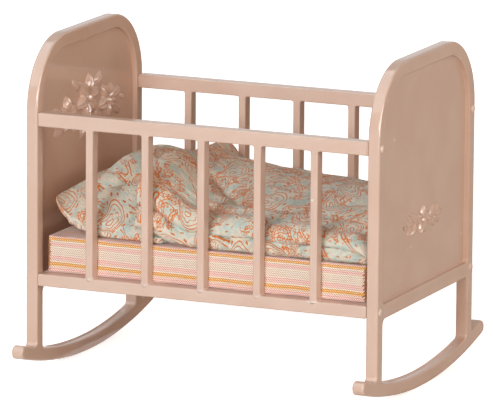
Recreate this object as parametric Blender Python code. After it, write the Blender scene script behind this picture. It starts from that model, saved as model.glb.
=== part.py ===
"""Doll cradle: cast ends on rockers, barred side gates, a base sheet and its bedding.

Lengths are in metres and +Z is up. The floor is Z = 0, X runs from the head end (-X) to the
foot end (+X), and the front gate is on the -Y side. The origin lies on the floor under the middle.
"""

import math

import bmesh
import bpy
from mathutils import Matrix, Vector

# Clearance between neighbouring pieces, and the overrun of every cut
GAP = 0.0003
OVERRUN = 0.001

# End castings
BED_LENGTH = 0.1000
END_THICKNESS = 0.0035
END_WIDTH = 0.0710
LEG_HEIGHT = 0.0255
RIM_WIDTH = 0.0040
WEB_THICKNESS = 0.0007
ARCH_RISE = 0.01995
ARCH_RADIUS = 0.0200
EDGE_CHAMFER = 0.0004
RECESS_FILLET = 0.0012
OPENING_FILLET = 0.0012
CROSS_RAIL_DROP = 0.0007

# Rockers, and the round-ended groove in each one's upper face
ROCKER_RADIUS = 0.1640
ROCKER_THICKNESS = 0.0039
ROCKER_OVERHANG = 0.0096
GROOVE_LENGTH = 0.0530
GROOVE_WIDTH = 0.0022
GROOVE_DEPTH = 0.0008

# Side gates
BAR_COUNT = 5
BAR_WIDTH = 0.0022
BAR_DEPTH = 0.0034
BAR_CHAMFER = 0.0003
RAIL_DEPTH = 0.0037
BOTTOM_RAIL_HEIGHT = 0.0035
TOP_RAIL_HEIGHT = 0.0039
RAIL_SPACING = 0.0421

# Base sheet, and the inner ledge of each bottom rail that it lies on
BASE_THICKNESS = 0.0006
LEDGE_WIDTH = 0.0012

# Rivets through the posts into the rails' ends
SHANK_RADIUS = 0.00045
RIVET_HEAD_RADIUS = 0.0010
RIVET_HEAD_HEIGHT = 0.00045
RIVET_SEAT_DEPTH = 0.0004
RIVET_INSET = 0.0019
RIVET_GRIP = 0.0040

# Covers, and the room that each leaves above and below its filling
COVER_THICKNESS = 0.0005
FILLING_ROOM = 0.0005

# Mattress, with the room that it leaves to each gate and to each end
MATTRESS_SIDE_ROOM = 0.0004
MATTRESS_END_ROOM = 0.0017
MATTRESS_HEIGHT = 0.0102
MATTRESS_CROWN = 0.0006
MATTRESS_WAIST = 0.0004
MATTRESS_EDGE = 0.0012
MATTRESS_EDGE_DROP = 0.0004

# Pillow, which leans up towards the head end
PILLOW_SIDE_ROOM = 0.0009
PILLOW_HEAD_ROOM = 0.0030
PILLOW_LENGTH = 0.0340
PILLOW_EDGE = 0.0018
PILLOW_SEAM_HEIGHT = 0.0012
PILLOW_CROWN = 0.0153
PILLOW_BELLY = 0.0060
PILLOW_CORNER_LIFT = 0.0064
PILLOW_SLOPE_LIFT = 0.0032
PILLOW_HEAD_RISE = 0.0024
PILLOW_DRAW = 0.0012

# Duvet, whose head edge lies over the pillow
DUVET_SIDE_ROOM = 0.0004
DUVET_FOOT_ROOM = 0.0017
DUVET_OVERLAP = 0.0085
DUVET_DRAPE_RUN = 0.0080
DUVET_EDGE = 0.0018
DUVET_HEAD_BULK = 0.0019
DUVET_FOOT_RISE = 0.0116
DUVET_PEAK = 0.0018
DUVET_FRONT_ROOM = 0.0014
DUVET_CREASE = 0.0022
DUVET_FOLD = 0.0005

# Counts of the flat steps that make the round shapes
ROCKER_STEPS = 25
TIP_STEPS = 6
GROOVE_STEPS = 8
ARCH_STEPS = 9
FILLET_STEPS = 3
HOLE_STEPS = 12
HEAD_STEPS = 3

# Edges between faces that turn by more than this are shaded sharp
SHARP_ANGLE = math.radians(35)

# Shares of each soft piece's length, width and height at which its lattice is cut
MATTRESS_SPAN_SHARES = (0.16, 0.33, 0.5, 0.67, 0.84)
MATTRESS_SIDE_SHARES = (0.5,)
PILLOW_LENGTH_SHARES = (0.03, 0.09, 0.18, 0.3, 0.45, 0.6, 0.75, 0.87, 0.95)
PILLOW_WIDTH_SHARES = (0.03, 0.1, 0.19, 0.3, 0.41, 0.53, 0.65, 0.77, 0.88, 0.96)
DUVET_LENGTH_SHARES = (0.05, 0.11, 0.18, 0.26, 0.35, 0.44, 0.53, 0.62, 0.71, 0.8, 0.88, 0.94, 0.975)
DUVET_WIDTH_SHARES = (0.02, 0.055, 0.1, 0.15, 0.2, 0.29, 0.39, 0.5, 0.61, 0.72, 0.83, 0.92, 0.975)
SLIT_SHARE = 0.5

# Places that follow from the sizes above
HALF_BED = BED_LENGTH / 2
HALF_WIDTH = END_WIDTH / 2
RAIL_TOP = LEG_HEIGHT + BOTTOM_RAIL_HEIGHT
CROSS_RAIL_UNDERSIDE = LEG_HEIGHT - CROSS_RAIL_DROP
TOP_RAIL_UNDERSIDE = RAIL_TOP + RAIL_SPACING
TOP_RAIL_TOP = TOP_RAIL_UNDERSIDE + TOP_RAIL_HEIGHT
ARCH_TOP = TOP_RAIL_TOP + ARCH_RISE
LEDGE_TOP = RAIL_TOP - BASE_THICKNESS - GAP
RIVET_Y = HALF_WIDTH - RIVET_INSET
RIVET_LEVELS = {
    "top": TOP_RAIL_UNDERSIDE + TOP_RAIL_HEIGHT / 2,
    "bottom": LEG_HEIGHT + BOTTOM_RAIL_HEIGHT / 2,
}
BED_WIDTH = END_WIDTH - 2 * RAIL_DEPTH
MATTRESS_LENGTH = BED_LENGTH - 2 * MATTRESS_END_ROOM
MATTRESS_WIDTH = BED_WIDTH - 2 * MATTRESS_SIDE_ROOM
MATTRESS_BOTTOM = RAIL_TOP + GAP
MATTRESS_TOP = MATTRESS_BOTTOM + MATTRESS_HEIGHT
PILLOW_X = PILLOW_HEAD_ROOM - HALF_BED
PILLOW_WIDTH = BED_WIDTH - 2 * PILLOW_SIDE_ROOM
DUVET_X = PILLOW_X + PILLOW_LENGTH - DUVET_OVERLAP
DUVET_LENGTH = HALF_BED - DUVET_FOOT_ROOM - DUVET_X
DUVET_WIDTH = BED_WIDTH - 2 * DUVET_SIDE_ROOM
DUVET_FRONT_LIFT = PILLOW_SEAM_HEIGHT + PILLOW_EDGE + DUVET_FRONT_ROOM
DUVET_HEAD_RISE = PILLOW_CROWN + DUVET_HEAD_BULK


def clear_scene():
    """Remove every object and mesh that the file starts with."""
    for item in list(bpy.data.objects):
        bpy.data.objects.remove(item, do_unlink=True)
    for mesh in list(bpy.data.meshes):
        bpy.data.meshes.remove(mesh)


def make_material(name, colour, roughness, metallic=0.0):
    """Return a Principled material of one colour."""
    material = bpy.data.materials.new(name)
    material.use_nodes = True
    material.diffuse_color = (*colour, 1.0)
    shader = material.node_tree.nodes["Principled BSDF"]
    shader.inputs["Base Color"].default_value = (*colour, 1.0)
    shader.inputs["Roughness"].default_value = roughness
    shader.inputs["Metallic"].default_value = metallic
    return material


def mesh_from(name, bm, material=None):
    """Turn a bmesh into mesh data with its faces pointing out and its round faces shaded smooth."""
    bmesh.ops.recalc_face_normals(bm, faces=bm.faces)
    mesh = bpy.data.meshes.new(name)
    bm.to_mesh(mesh)
    bm.free()
    mesh.shade_smooth()
    mesh.set_sharp_from_angle(angle=SHARP_ANGLE)
    if material:
        mesh.materials.append(material)
    return mesh


def add_object(name, mesh, location=(0, 0, 0), turn=0.0, parent=None):
    """Link an object that shows the mesh at a place, turned about Z."""
    item = bpy.data.objects.new(name, mesh)
    bpy.context.collection.objects.link(item)
    item.location = location
    item.rotation_euler = (0, 0, turn)
    item.parent = parent
    return item


def add_cutter(name, mesh, parent, operation):
    """Let a hidden helper object join or cut its parent."""
    helper = add_object(name, mesh, parent=parent)
    helper.hide_render = True
    helper.display_type = "WIRE"
    modifier = parent.modifiers.new(name, "BOOLEAN")
    modifier.object = helper
    modifier.operation = operation
    modifier.solver = "EXACT"


def linked(verts, kind):
    """Return each of the points' edges or faces once, in a steady order."""
    return list(dict.fromkeys(item for vert in verts for item in getattr(vert, kind)))


def arc(centre, radius, start, end, steps):
    """Return steps + 1 points on an arc, with angles in radians from the first axis."""
    points = []
    for step in range(steps + 1):
        angle = start + (end - start) * step / steps
        points.append(Vector((centre[0] + radius * math.cos(angle), centre[1] + radius * math.sin(angle))))
    return points


def round_corner(before, corner, after, radius):
    """Return the fillet that replaces a corner between two straight runs."""
    back = (before - corner).normalized()
    ahead = (after - corner).normalized()
    half_angle = back.angle(ahead) / 2
    centre = corner + (back + ahead).normalized() * (radius / math.sin(half_angle))
    first = corner + back * (radius / math.tan(half_angle))
    last = corner + ahead * (radius / math.tan(half_angle))
    start = math.atan2(first.y - centre.y, first.x - centre.x)
    end = math.atan2(last.y - centre.y, last.x - centre.x)
    sweep = (end - start + math.pi) % (2 * math.pi) - math.pi
    return arc(centre, radius, start, start + sweep, FILLET_STEPS)


def mirrored(half):
    """Close an outline from its right half, which runs upwards from near the middle line."""
    return half + [Vector((-point.x, point.y)) for point in reversed(half)]


def offset_outline(points, distance):
    """Move a closed outline that runs anticlockwise outwards by a distance, with mitred corners."""
    moved = []
    for index, point in enumerate(points):
        before = (point - points[index - 1]).normalized()
        after = (points[(index + 1) % len(points)] - point).normalized()
        normal_before = Vector((before.y, -before.x))
        normal_after = Vector((after.y, -after.x))
        mitre = (normal_before + normal_after).normalized()
        moved.append(point + mitre * (distance / mitre.dot(normal_after)))
    return moved


def extrude_ring(bm, verts, edges, points, x):
    """Extrude a closed ring of edges to an outline in the plane at x.

    Returns the new ring's points in the same order, and its edges.
    """
    grown = bmesh.ops.extrude_edge_only(bm, edges=edges)["geom"]
    new_verts = {item for item in grown if isinstance(item, bmesh.types.BMVert)}
    new_edges = [
        item for item in grown if isinstance(item, bmesh.types.BMEdge) and new_verts.issuperset(item.verts)
    ]
    ring = []
    for vert, point in zip(verts, points):
        partners = {edge.other_vert(vert) for edge in vert.link_edges} & new_verts
        partner = partners.pop()
        partner.co = (x, point.x, point.y)
        ring.append(partner)
    return ring, new_edges


def add_wall(bm, outline, path):
    """Build a wall round an outline.

    The path lists (x, offset) levels from the +X face to the -X face. Returns the edges of the
    first and the last level.
    """
    x, offset = path[0]
    verts = [bm.verts.new((x, point.x, point.y)) for point in offset_outline(outline, offset)]
    first_edges = [bm.edges.new((verts[index - 1], vert)) for index, vert in enumerate(verts)]
    edges = first_edges
    for x, offset in path[1:]:
        verts, edges = extrude_ring(bm, verts, edges, offset_outline(outline, offset), x)
    return first_edges, edges


def rocker_centre_height():
    """Return the height of the rocker's centre, which puts its middle flat on the floor."""
    step = 2 * rocker_tip_angle() / ROCKER_STEPS
    return ROCKER_RADIUS * math.cos(step / 2)


def rocker_tip_angle():
    """Return the angle from straight down to the middle of the rocker's round tip."""
    middle_radius = ROCKER_RADIUS - ROCKER_THICKNESS / 2
    tip_middle = HALF_WIDTH + ROCKER_OVERHANG - ROCKER_THICKNESS / 2
    return math.asin(tip_middle / middle_radius)


def rocker_arc(radius, start, end, steps):
    """Return points on an arc about the rocker's centre, with angles from straight down."""
    down = -math.pi / 2
    return arc((0, rocker_centre_height()), radius, down + start, down + end, steps)


def rocker_top_point(y):
    """Return the point of the rocker's upper face at a distance y from the middle."""
    radius = ROCKER_RADIUS - ROCKER_THICKNESS
    return Vector((y, rocker_centre_height() - math.sqrt(radius ** 2 - y ** 2)))


def end_outline():
    """Return the outer outline of an end: rocker, legs and arch, as (y, z) points."""
    tip = rocker_tip_angle()
    half_step = tip / ROCKER_STEPS
    half = rocker_arc(ROCKER_RADIUS, half_step, tip, ROCKER_STEPS // 2)
    tip_centre = rocker_arc(ROCKER_RADIUS - ROCKER_THICKNESS / 2, tip, tip, 1)[0]
    round_start = tip - math.pi / 2
    half += arc(tip_centre, ROCKER_THICKNESS / 2, round_start, round_start + math.pi, TIP_STEPS)[1:-1]
    top_radius = ROCKER_RADIUS - ROCKER_THICKNESS
    half += rocker_arc(top_radius, tip, math.asin(HALF_WIDTH / top_radius), 2)
    arch_centre = (HALF_WIDTH - ARCH_RADIUS, ARCH_TOP - ARCH_RADIUS)
    half += arc(arch_centre, ARCH_RADIUS, 0, math.pi / 2, ARCH_STEPS)
    return mirrored(half)


def leg_opening_outline():
    """Return the outline of the opening between the legs, the cross rail and the rocker."""
    leg_inner = HALF_WIDTH - RIM_WIDTH
    top_radius = ROCKER_RADIUS - ROCKER_THICKNESS
    half_step = rocker_tip_angle() / ROCKER_STEPS
    last_angle = math.asin((leg_inner - 2 * OPENING_FILLET) / top_radius)
    half = rocker_arc(top_radius, half_step, last_angle, ROCKER_STEPS // 3)
    foot_corner = rocker_top_point(leg_inner)
    rail_corner = Vector((leg_inner, CROSS_RAIL_UNDERSIDE))
    middle = Vector((0, CROSS_RAIL_UNDERSIDE))
    half += round_corner(half[-1], foot_corner, rail_corner, OPENING_FILLET)
    half += round_corner(foot_corner, rail_corner, middle, OPENING_FILLET)
    return mirrored(half)


def recess_outline():
    """Return the outline of the panel recess inside the rim."""
    side = HALF_WIDTH - RIM_WIDTH
    corner = Vector((side, RAIL_TOP))
    half = round_corner(Vector((0, RAIL_TOP)), corner, Vector((side, ARCH_TOP)), RECESS_FILLET)
    arch_centre = (HALF_WIDTH - ARCH_RADIUS, ARCH_TOP - ARCH_RADIUS)
    half += arc(arch_centre, ARCH_RADIUS - RIM_WIDTH, 0, math.pi / 2, ARCH_STEPS)
    return mirrored(half)


def make_end_mesh(material):
    """Build an end casting about X = 0 from the walls of its outlines and two filled faces.

    Its outer side, where the rivets' heads are seated, faces +X.
    """
    bm = bmesh.new()
    face = END_THICKNESS / 2
    shoulder = face - EDGE_CHAMFER
    front_edges = []
    back_edges = []

    outer_path = ((face, -EDGE_CHAMFER), (shoulder, 0), (-shoulder, 0), (-face, -EDGE_CHAMFER))
    opening_path = ((face, EDGE_CHAMFER), (shoulder, 0), (-shoulder, 0), (-face, EDGE_CHAMFER))
    seat_width = RIVET_HEAD_RADIUS - SHANK_RADIUS
    seat_floor = face - RIVET_SEAT_DEPTH
    hole_path = ((face, seat_width), (seat_floor, seat_width), (seat_floor, 0), (-face, 0))
    through = [(end_outline(), outer_path), (leg_opening_outline(), opening_path)]
    for level in RIVET_LEVELS.values():
        for y in (-RIVET_Y, RIVET_Y):
            hole = arc((y, level), SHANK_RADIUS + GAP, 0, 2 * math.pi, HOLE_STEPS)[:-1]
            through.append((hole, hole_path))
    for outline, path in through:
        front, back = add_wall(bm, outline, path)
        front_edges += front
        back_edges += back

    for side, edges in ((1, front_edges), (-1, back_edges)):
        recess_path = ((side * face, EDGE_CHAMFER), (side * shoulder, 0), (side * WEB_THICKNESS / 2, 0))
        rim, floor = add_wall(bm, recess_outline(), recess_path)
        bmesh.ops.triangle_fill(bm, edges=floor, use_beauty=True)
        bmesh.ops.triangle_fill(bm, edges=edges + rim, use_beauty=True)
    return mesh_from("end_casting", bm, material)


def make_groove_mesh():
    """Build the shape that cuts the groove: a bar bent round the rocker, with round ends."""
    bm = bmesh.new()
    top_radius = ROCKER_RADIUS - ROCKER_THICKNESS
    half_width = GROOVE_WIDTH / 2
    straight = GROOVE_LENGTH / 2 - half_width
    rows = [(straight * step / GROOVE_STEPS, half_width) for step in range(GROOVE_STEPS + 1)]
    round_end = arc((0, straight), half_width, 0, math.pi / 2, TIP_STEPS)[1:-1]
    rows += [(point.y, point.x) for point in round_end]
    rows = [(-y, width) for y, width in reversed(rows[1:])] + rows

    bmesh.ops.create_cube(bm, size=1)
    lengthwise = [edge for edge in bm.edges if edge.verts[0].co.y != edge.verts[1].co.y]
    bmesh.ops.subdivide_edges(bm, edges=lengthwise, cuts=len(rows) - 2, use_grid_fill=True)
    for vert in bm.verts:
        y, width = rows[round((vert.co.y + 1 / 2) * (len(rows) - 1))]
        radius = top_radius - OVERRUN if vert.co.z > 0 else top_radius + GROOVE_DEPTH
        point = rocker_arc(radius, y / top_radius, y / top_radius, 1)[0]
        vert.co = (math.copysign(width, vert.co.x), point.x, point.y)
    bmesh.ops.triangulate(bm, faces=bm.faces)
    return mesh_from("rocker_groove", bm)


def add_bar(bm, size, centre, chamfer):
    """Add a box of a given size whose edges are chamfered."""
    box = bmesh.ops.create_cube(bm, size=1)
    bmesh.ops.scale(bm, vec=size, verts=box["verts"])
    bmesh.ops.translate(bm, vec=centre, verts=box["verts"])
    edges = linked(box["verts"], "link_edges")
    bmesh.ops.bevel(bm, geom=edges, offset=chamfer, segments=1, profile=0.5, affect="EDGES")


def add_rod(bm, radius, start, end):
    """Add a closed cylinder along X between two points."""
    length = end.x - start.x
    turn = Matrix.Rotation(math.pi / 2, 4, "Y")
    place = Matrix.Translation((start + end) / 2) @ turn
    bmesh.ops.create_cone(
        bm, cap_ends=True, segments=HOLE_STEPS, radius1=radius, radius2=radius,
        depth=abs(length), matrix=place,
    )


def make_rails_mesh(material):
    """Build the two rails of the front gate, the lower one with the base sheet's ledge."""
    bm = bmesh.new()
    length = BED_LENGTH - 2 * GAP
    front = -HALF_WIDTH
    chamfer = BAR_CHAMFER
    rail_back = front + RAIL_DEPTH
    ledge_back = rail_back + LEDGE_WIDTH
    lower = [
        (front, LEG_HEIGHT + chamfer), (front + chamfer, LEG_HEIGHT),
        (ledge_back - chamfer, LEG_HEIGHT), (ledge_back, LEG_HEIGHT + chamfer),
        (ledge_back, LEDGE_TOP), (rail_back, LEDGE_TOP),
        (rail_back, RAIL_TOP - chamfer), (rail_back - chamfer, RAIL_TOP),
        (front + chamfer, RAIL_TOP), (front, RAIL_TOP - chamfer),
    ]
    upper = [
        (front, TOP_RAIL_UNDERSIDE + chamfer), (front + chamfer, TOP_RAIL_UNDERSIDE),
        (rail_back - chamfer, TOP_RAIL_UNDERSIDE), (rail_back, TOP_RAIL_UNDERSIDE + chamfer),
        (rail_back, TOP_RAIL_TOP - chamfer), (rail_back - chamfer, TOP_RAIL_TOP),
        (front + chamfer, TOP_RAIL_TOP), (front, TOP_RAIL_TOP - chamfer),
    ]
    for section in (lower, upper):
        verts = [bm.verts.new((-length / 2, y, z)) for y, z in section]
        face = bm.faces.new(verts)
        grown = bmesh.ops.extrude_face_region(bm, geom=[face])
        moved = [item for item in grown["geom"] if isinstance(item, bmesh.types.BMVert)]
        bmesh.ops.translate(bm, vec=(length, 0, 0), verts=moved)
    return mesh_from("gate_rails", bm, material)


def make_bars_mesh():
    """Build the gate's bars, each sunk halfway into both rails."""
    bm = bmesh.new()
    bottom = LEG_HEIGHT + BOTTOM_RAIL_HEIGHT / 2
    top = TOP_RAIL_UNDERSIDE + TOP_RAIL_HEIGHT / 2
    pitch = (BED_LENGTH + BAR_WIDTH) / (BAR_COUNT + 1)
    y = BAR_DEPTH / 2 - HALF_WIDTH
    for index in range(BAR_COUNT):
        x = (index - (BAR_COUNT - 1) / 2) * pitch
        add_bar(bm, (BAR_WIDTH, BAR_DEPTH, top - bottom), (x, y, (top + bottom) / 2), BAR_CHAMFER)
    return mesh_from("gate_bars", bm)


def make_rivet_holes_mesh():
    """Build the blind holes in the four rail ends of a gate."""
    bm = bmesh.new()
    floor = HALF_BED - RIVET_GRIP - GAP
    for level in RIVET_LEVELS.values():
        for side in (-1, 1):
            start = Vector((side * floor, -RIVET_Y, level))
            end = Vector((side * (HALF_BED + OVERRUN), -RIVET_Y, level))
            add_rod(bm, SHANK_RADIUS + GAP, start, end)
    return mesh_from("gate_rivet_holes", bm)


def add_gates(material):
    """Add both side gates, which are the same casting turned about Z."""
    rails = make_rails_mesh(material)
    bars = make_bars_mesh()
    holes = make_rivet_holes_mesh()
    for name, turn in (("front_side_gate", 0.0), ("back_side_gate", math.pi)):
        gate = add_object(name, rails, turn=turn)
        add_cutter(name + "_bars", bars, gate, "UNION")
        add_cutter(name + "_rivet_holes", holes, gate, "DIFFERENCE")


def add_base(material):
    """Add the sheet that lies on the ledges of the two bottom rails."""
    bm = bmesh.new()
    width = BED_WIDTH - 2 * GAP
    centre = (0, 0, RAIL_TOP - BASE_THICKNESS / 2)
    add_bar(bm, (BED_LENGTH - 2 * GAP, width, BASE_THICKNESS), centre, BASE_THICKNESS / 8)
    add_object("bed_base", mesh_from("bed_base", bm, material))


def make_rivet_mesh(material):
    """Build a rivet along X: its domed head stands at the end's outer face, which is X = 0."""
    bm = bmesh.new()
    shank_end = -END_THICKNESS - RIVET_GRIP
    head_base = GAP - RIVET_SEAT_DEPTH
    profile = [Vector((shank_end, 0)), Vector((shank_end, SHANK_RADIUS)), Vector((head_base, SHANK_RADIUS))]
    for step in range(HEAD_STEPS + 1):
        angle = math.pi / 2 * step / HEAD_STEPS
        along = head_base + RIVET_HEAD_HEIGHT * math.sin(angle)
        profile.append(Vector((along, RIVET_HEAD_RADIUS * math.cos(angle))))
    profile[-1].y = 0
    verts = [bm.verts.new((point.x, point.y, 0)) for point in profile]
    edges = [bm.edges.new(pair) for pair in zip(verts, verts[1:])]
    bmesh.ops.spin(
        bm, geom=verts + edges, cent=(0, 0, 0), axis=(1, 0, 0), angle=2 * math.pi,
        steps=HOLE_STEPS, use_merge=True,
    )
    bmesh.ops.remove_doubles(bm, verts=bm.verts, dist=SHANK_RADIUS / 1000)
    return mesh_from("rivet", bm, material)


def add_ends(material, rivet_material):
    """Add the two end castings and the four rivets of each."""
    casting = make_end_mesh(material)
    groove = make_groove_mesh()
    rivet = make_rivet_mesh(rivet_material)
    middle = HALF_BED + END_THICKNESS / 2
    outer = HALF_BED + END_THICKNESS
    for end, side, turn in (("head", -1, math.pi), ("foot", 1, 0.0)):
        item = add_object(end + "_end", casting, (side * middle, 0, 0), turn)
        add_cutter(end + "_rocker_groove", groove, item, "DIFFERENCE")
        for row, y in (("front", -RIVET_Y), ("back", RIVET_Y)):
            for level, z in RIVET_LEVELS.items():
                add_object(f"{end}_rivet_{row}_{level}", rivet, (side * outer, y, z), turn)


def smooth_step(share):
    """Return an S-shaped ramp from 0 to 1, flat outside that range."""
    share = min(max(share, 0.0), 1.0)
    return share * share * (3 - 2 * share)


def swell(share, power):
    """Return a round bulge across a length: 0 at both ends and 1 in the middle."""
    return math.sqrt(max(0.0, 1 - abs(2 * share - 1) ** power))


def mattress_top(x, y):
    """Return the height of the mattress's upper face."""
    along = 2 * x / MATTRESS_LENGTH
    across = 2 * y / MATTRESS_WIDTH
    crown = max(0.0, 1 - along ** 4) * max(0.0, 1 - across ** 4)
    return MATTRESS_TOP + MATTRESS_CROWN * crown


def mattress_point(u, v, w, skin):
    """Place a lattice point of the mattress, a skin's depth inside its upper and lower faces."""
    draw = MATTRESS_WAIST * math.sin(math.pi * w)
    if w in (0, 1):
        draw = MATTRESS_EDGE_DROP
    rim = u in (0, 1) or v in (0, 1)
    x = (u - 0.5) * (MATTRESS_LENGTH - 2 * draw * rim)
    y = (v - 0.5) * (MATTRESS_WIDTH - 2 * draw * rim)
    drop = MATTRESS_EDGE_DROP if rim else 0.0
    bottom = MATTRESS_BOTTOM + drop + skin
    top = mattress_top((u - 0.5) * MATTRESS_LENGTH, (v - 0.5) * MATTRESS_WIDTH) - drop - skin
    return Vector((x, y, bottom + (top - bottom) * w))


def pillow_hump(v):
    """Return how full the pillow is across its width: it rises slowly from the front."""
    if v < 0.5:
        return 1 - (1 - 2 * v) ** 1.45
    return math.sqrt(1 - (2 * v - 1) ** 5)


def pillow_heights(u, v, x, y):
    """Return the lower and upper heights of the pillow at shares u and v."""
    hump = pillow_hump(v)
    fullness = swell(u, 2.5) * (1.05 - 0.3 * u)
    corner = (PILLOW_CORNER_LIFT + PILLOW_HEAD_RISE * hump) * math.exp(-8 * u)
    seam = mattress_top(x, y) + PILLOW_SEAM_HEIGHT + corner + PILLOW_SLOPE_LIFT * (1 - u) ** 1.5
    rest = mattress_top(x, y) + GAP
    belly = PILLOW_BELLY * fullness * swell(v, 3)
    bottom = max(rest, seam - PILLOW_EDGE / 2 - belly)
    return bottom, seam + PILLOW_EDGE / 2 + PILLOW_CROWN * fullness * hump


def pillow_point(u, v, w, skin):
    """Place a lattice point of the pillow, whose sides are drawn in between its corners.

    The skin is the depth of the point inside the upper and lower faces.
    """
    draw_x = PILLOW_DRAW * math.sin(math.pi * v)
    draw_y = PILLOW_DRAW * math.sin(math.pi * u)
    x = PILLOW_X + draw_x + u * (PILLOW_LENGTH - 2 * draw_x)
    y = (v - 0.5) * (PILLOW_WIDTH - 2 * draw_y)
    bottom, top = pillow_heights(u, v, x, y)
    return Vector((x, y, bottom + skin + (top - bottom - 2 * skin) * w))


def duvet_support(u, v):
    """Return how far above the mattress the duvet's underside runs where the pillow carries it."""
    front = 1 - max(0.0, 1 - 2 * v) ** 1.45
    lift = DUVET_FRONT_LIFT + (PILLOW_CROWN - DUVET_FRONT_LIFT) * front
    return lift * (1 - smooth_step(u * DUVET_LENGTH / (DUVET_OVERLAP + DUVET_DRAPE_RUN)))


def duvet_profile(u, v):
    """Return how full the duvet is: a tight front roll, a broad back and a round foot end."""
    roll = math.sqrt(1 - (1 - min(v / 0.12, 1.0)) ** 2)
    broad = smooth_step(v / 0.65)
    back = math.sqrt(1 - max(0.0, (v - 0.8) / 0.2) ** 2)
    foot = math.sqrt(1 - max(0.0, (u - 0.9) / 0.1) ** 2)
    return (0.55 * roll + 0.45 * broad) * back * foot


def duvet_folds(u, v):
    """Return the depth of the crease behind the front roll, less the broad ripples."""
    inside = swell(u, 4) * swell(v, 4)
    crease = math.exp(-((v - 0.15 - 0.04 * u) / 0.04) ** 2) * (0.35 + 0.65 * u)
    ripple = math.sin(11 * u + 5 * v) * math.sin(4 + 7 * v - 3 * u)
    return (DUVET_CREASE * crease - DUVET_FOLD * ripple) * inside


def duvet_point(u, v, w, skin):
    """Place a lattice point of the duvet, which hangs from the pillow down to the mattress.

    The skin is the depth of the point inside the upper and lower faces.
    """
    x = DUVET_X + u * DUVET_LENGTH
    y = (v - 0.5) * DUVET_WIDTH
    ground = mattress_top(x, y)
    bottom = ground + GAP + duvet_support(u, v)
    rise = DUVET_FOOT_RISE + (DUVET_HEAD_RISE - DUVET_FOOT_RISE) * (1 - u) ** 1.6
    rise += DUVET_PEAK * math.exp(-((u - 0.09) / 0.06) ** 2)
    room = max(0.0, ground + rise - bottom - DUVET_EDGE)
    top = bottom + DUVET_EDGE + max(0.0, room * duvet_profile(u, v) - duvet_folds(u, v))
    return Vector((x, y, bottom + skin + (top - bottom - 2 * skin) * w))


def add_lattice(bm, cuts, place, skin):
    """Add a cube whose faces are cut across each axis, and place its points.

    The cuts along each axis run from the cube's near face to its far face. Returns the face of
    the +X side that holds the closing slit.
    """
    near = Vector([shares[0] for shares in cuts])
    far = Vector([shares[-1] for shares in cuts])
    size = Matrix.Diagonal((*(far - near), 1))
    cube = bmesh.ops.create_cube(bm, size=1, matrix=Matrix.Translation((near + far) / 2) @ size)
    verts = cube["verts"]
    for axis, shares in enumerate(cuts):
        normal = Vector([float(index == axis) for index in range(3)])
        for share in shares[1:-1]:
            geometry = verts + linked(verts, "link_edges") + linked(verts, "link_faces")
            cut = bmesh.ops.bisect_plane(bm, geom=geometry, plane_co=normal * share, plane_no=normal)
            verts += [item for item in cut["geom_cut"] if isinstance(item, bmesh.types.BMVert)]
    slit_at = Vector((far.x, SLIT_SHARE, 0.5))
    slit = min(linked(verts, "link_faces"), key=lambda face: (face.calc_center_median() - slit_at).length)
    for vert in verts:
        u, v, w = [round(share, 6) for share in vert.co]
        vert.co = place(u, v, w, skin)
    return slit


def add_stuffed_piece(name, shares, place, cover_material, filling_material):
    """Add a cover with a closing slit at its foot end, and the filling inside it.

    The hollow and the filling keep to the cover's own lattice lines, one and two lines in from
    its edge, so that their faces run parallel to the cover's.
    """
    along, across, up = shares
    bm = bmesh.new()
    outer_slit = add_lattice(bm, ((0, *along, 1), (0, *across, 1), (0, *up, 1)), place, 0.0)
    inner_slit = add_lattice(bm, (along, across, (0, 1)), place, COVER_THICKNESS)
    edges = list(outer_slit.edges) + list(inner_slit.edges)
    bmesh.ops.delete(bm, geom=[outer_slit, inner_slit], context="FACES_ONLY")
    bmesh.ops.bridge_loops(bm, edges=edges)
    add_object(name + "_cover", mesh_from(name + "_cover", bm, cover_material))

    bm = bmesh.new()
    add_lattice(bm, (along[1:-1], across[1:-1], (0, 1)), place, COVER_THICKNESS + FILLING_ROOM)
    add_object(name + "_filling", mesh_from(name + "_filling", bm, filling_material))


def add_bedding():
    """Add the mattress, the pillow and the duvet, each a cover with its filling."""
    wadding = make_material("wadding", (0.85, 0.83, 0.79), 0.95)
    edge_length = MATTRESS_EDGE / MATTRESS_LENGTH
    edge_width = MATTRESS_EDGE / MATTRESS_WIDTH
    edge_height = MATTRESS_EDGE / MATTRESS_HEIGHT
    mattress_shares = (
        (edge_length, 2 * edge_length, *MATTRESS_SPAN_SHARES, 1 - 2 * edge_length, 1 - edge_length),
        (edge_width, 2 * edge_width, *MATTRESS_SPAN_SHARES, 1 - 2 * edge_width, 1 - edge_width),
        (edge_height, *MATTRESS_SIDE_SHARES, 1 - edge_height),
    )
    pillow_shares = (PILLOW_LENGTH_SHARES, PILLOW_WIDTH_SHARES, ())
    duvet_shares = (DUVET_LENGTH_SHARES, DUVET_WIDTH_SHARES, ())
    ticking = make_material("striped_ticking", (0.86, 0.62, 0.52), 0.85)
    pillow_cotton = make_material("pillow_cotton", (0.60, 0.64, 0.55), 0.85)
    duvet_cotton = make_material("duvet_cotton", (0.62, 0.66, 0.57), 0.85)
    add_stuffed_piece("mattress", mattress_shares, mattress_point, ticking, wadding)
    add_stuffed_piece("pillow", pillow_shares, pillow_point, pillow_cotton, wadding)
    add_stuffed_piece("duvet", duvet_shares, duvet_point, duvet_cotton, wadding)


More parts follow.
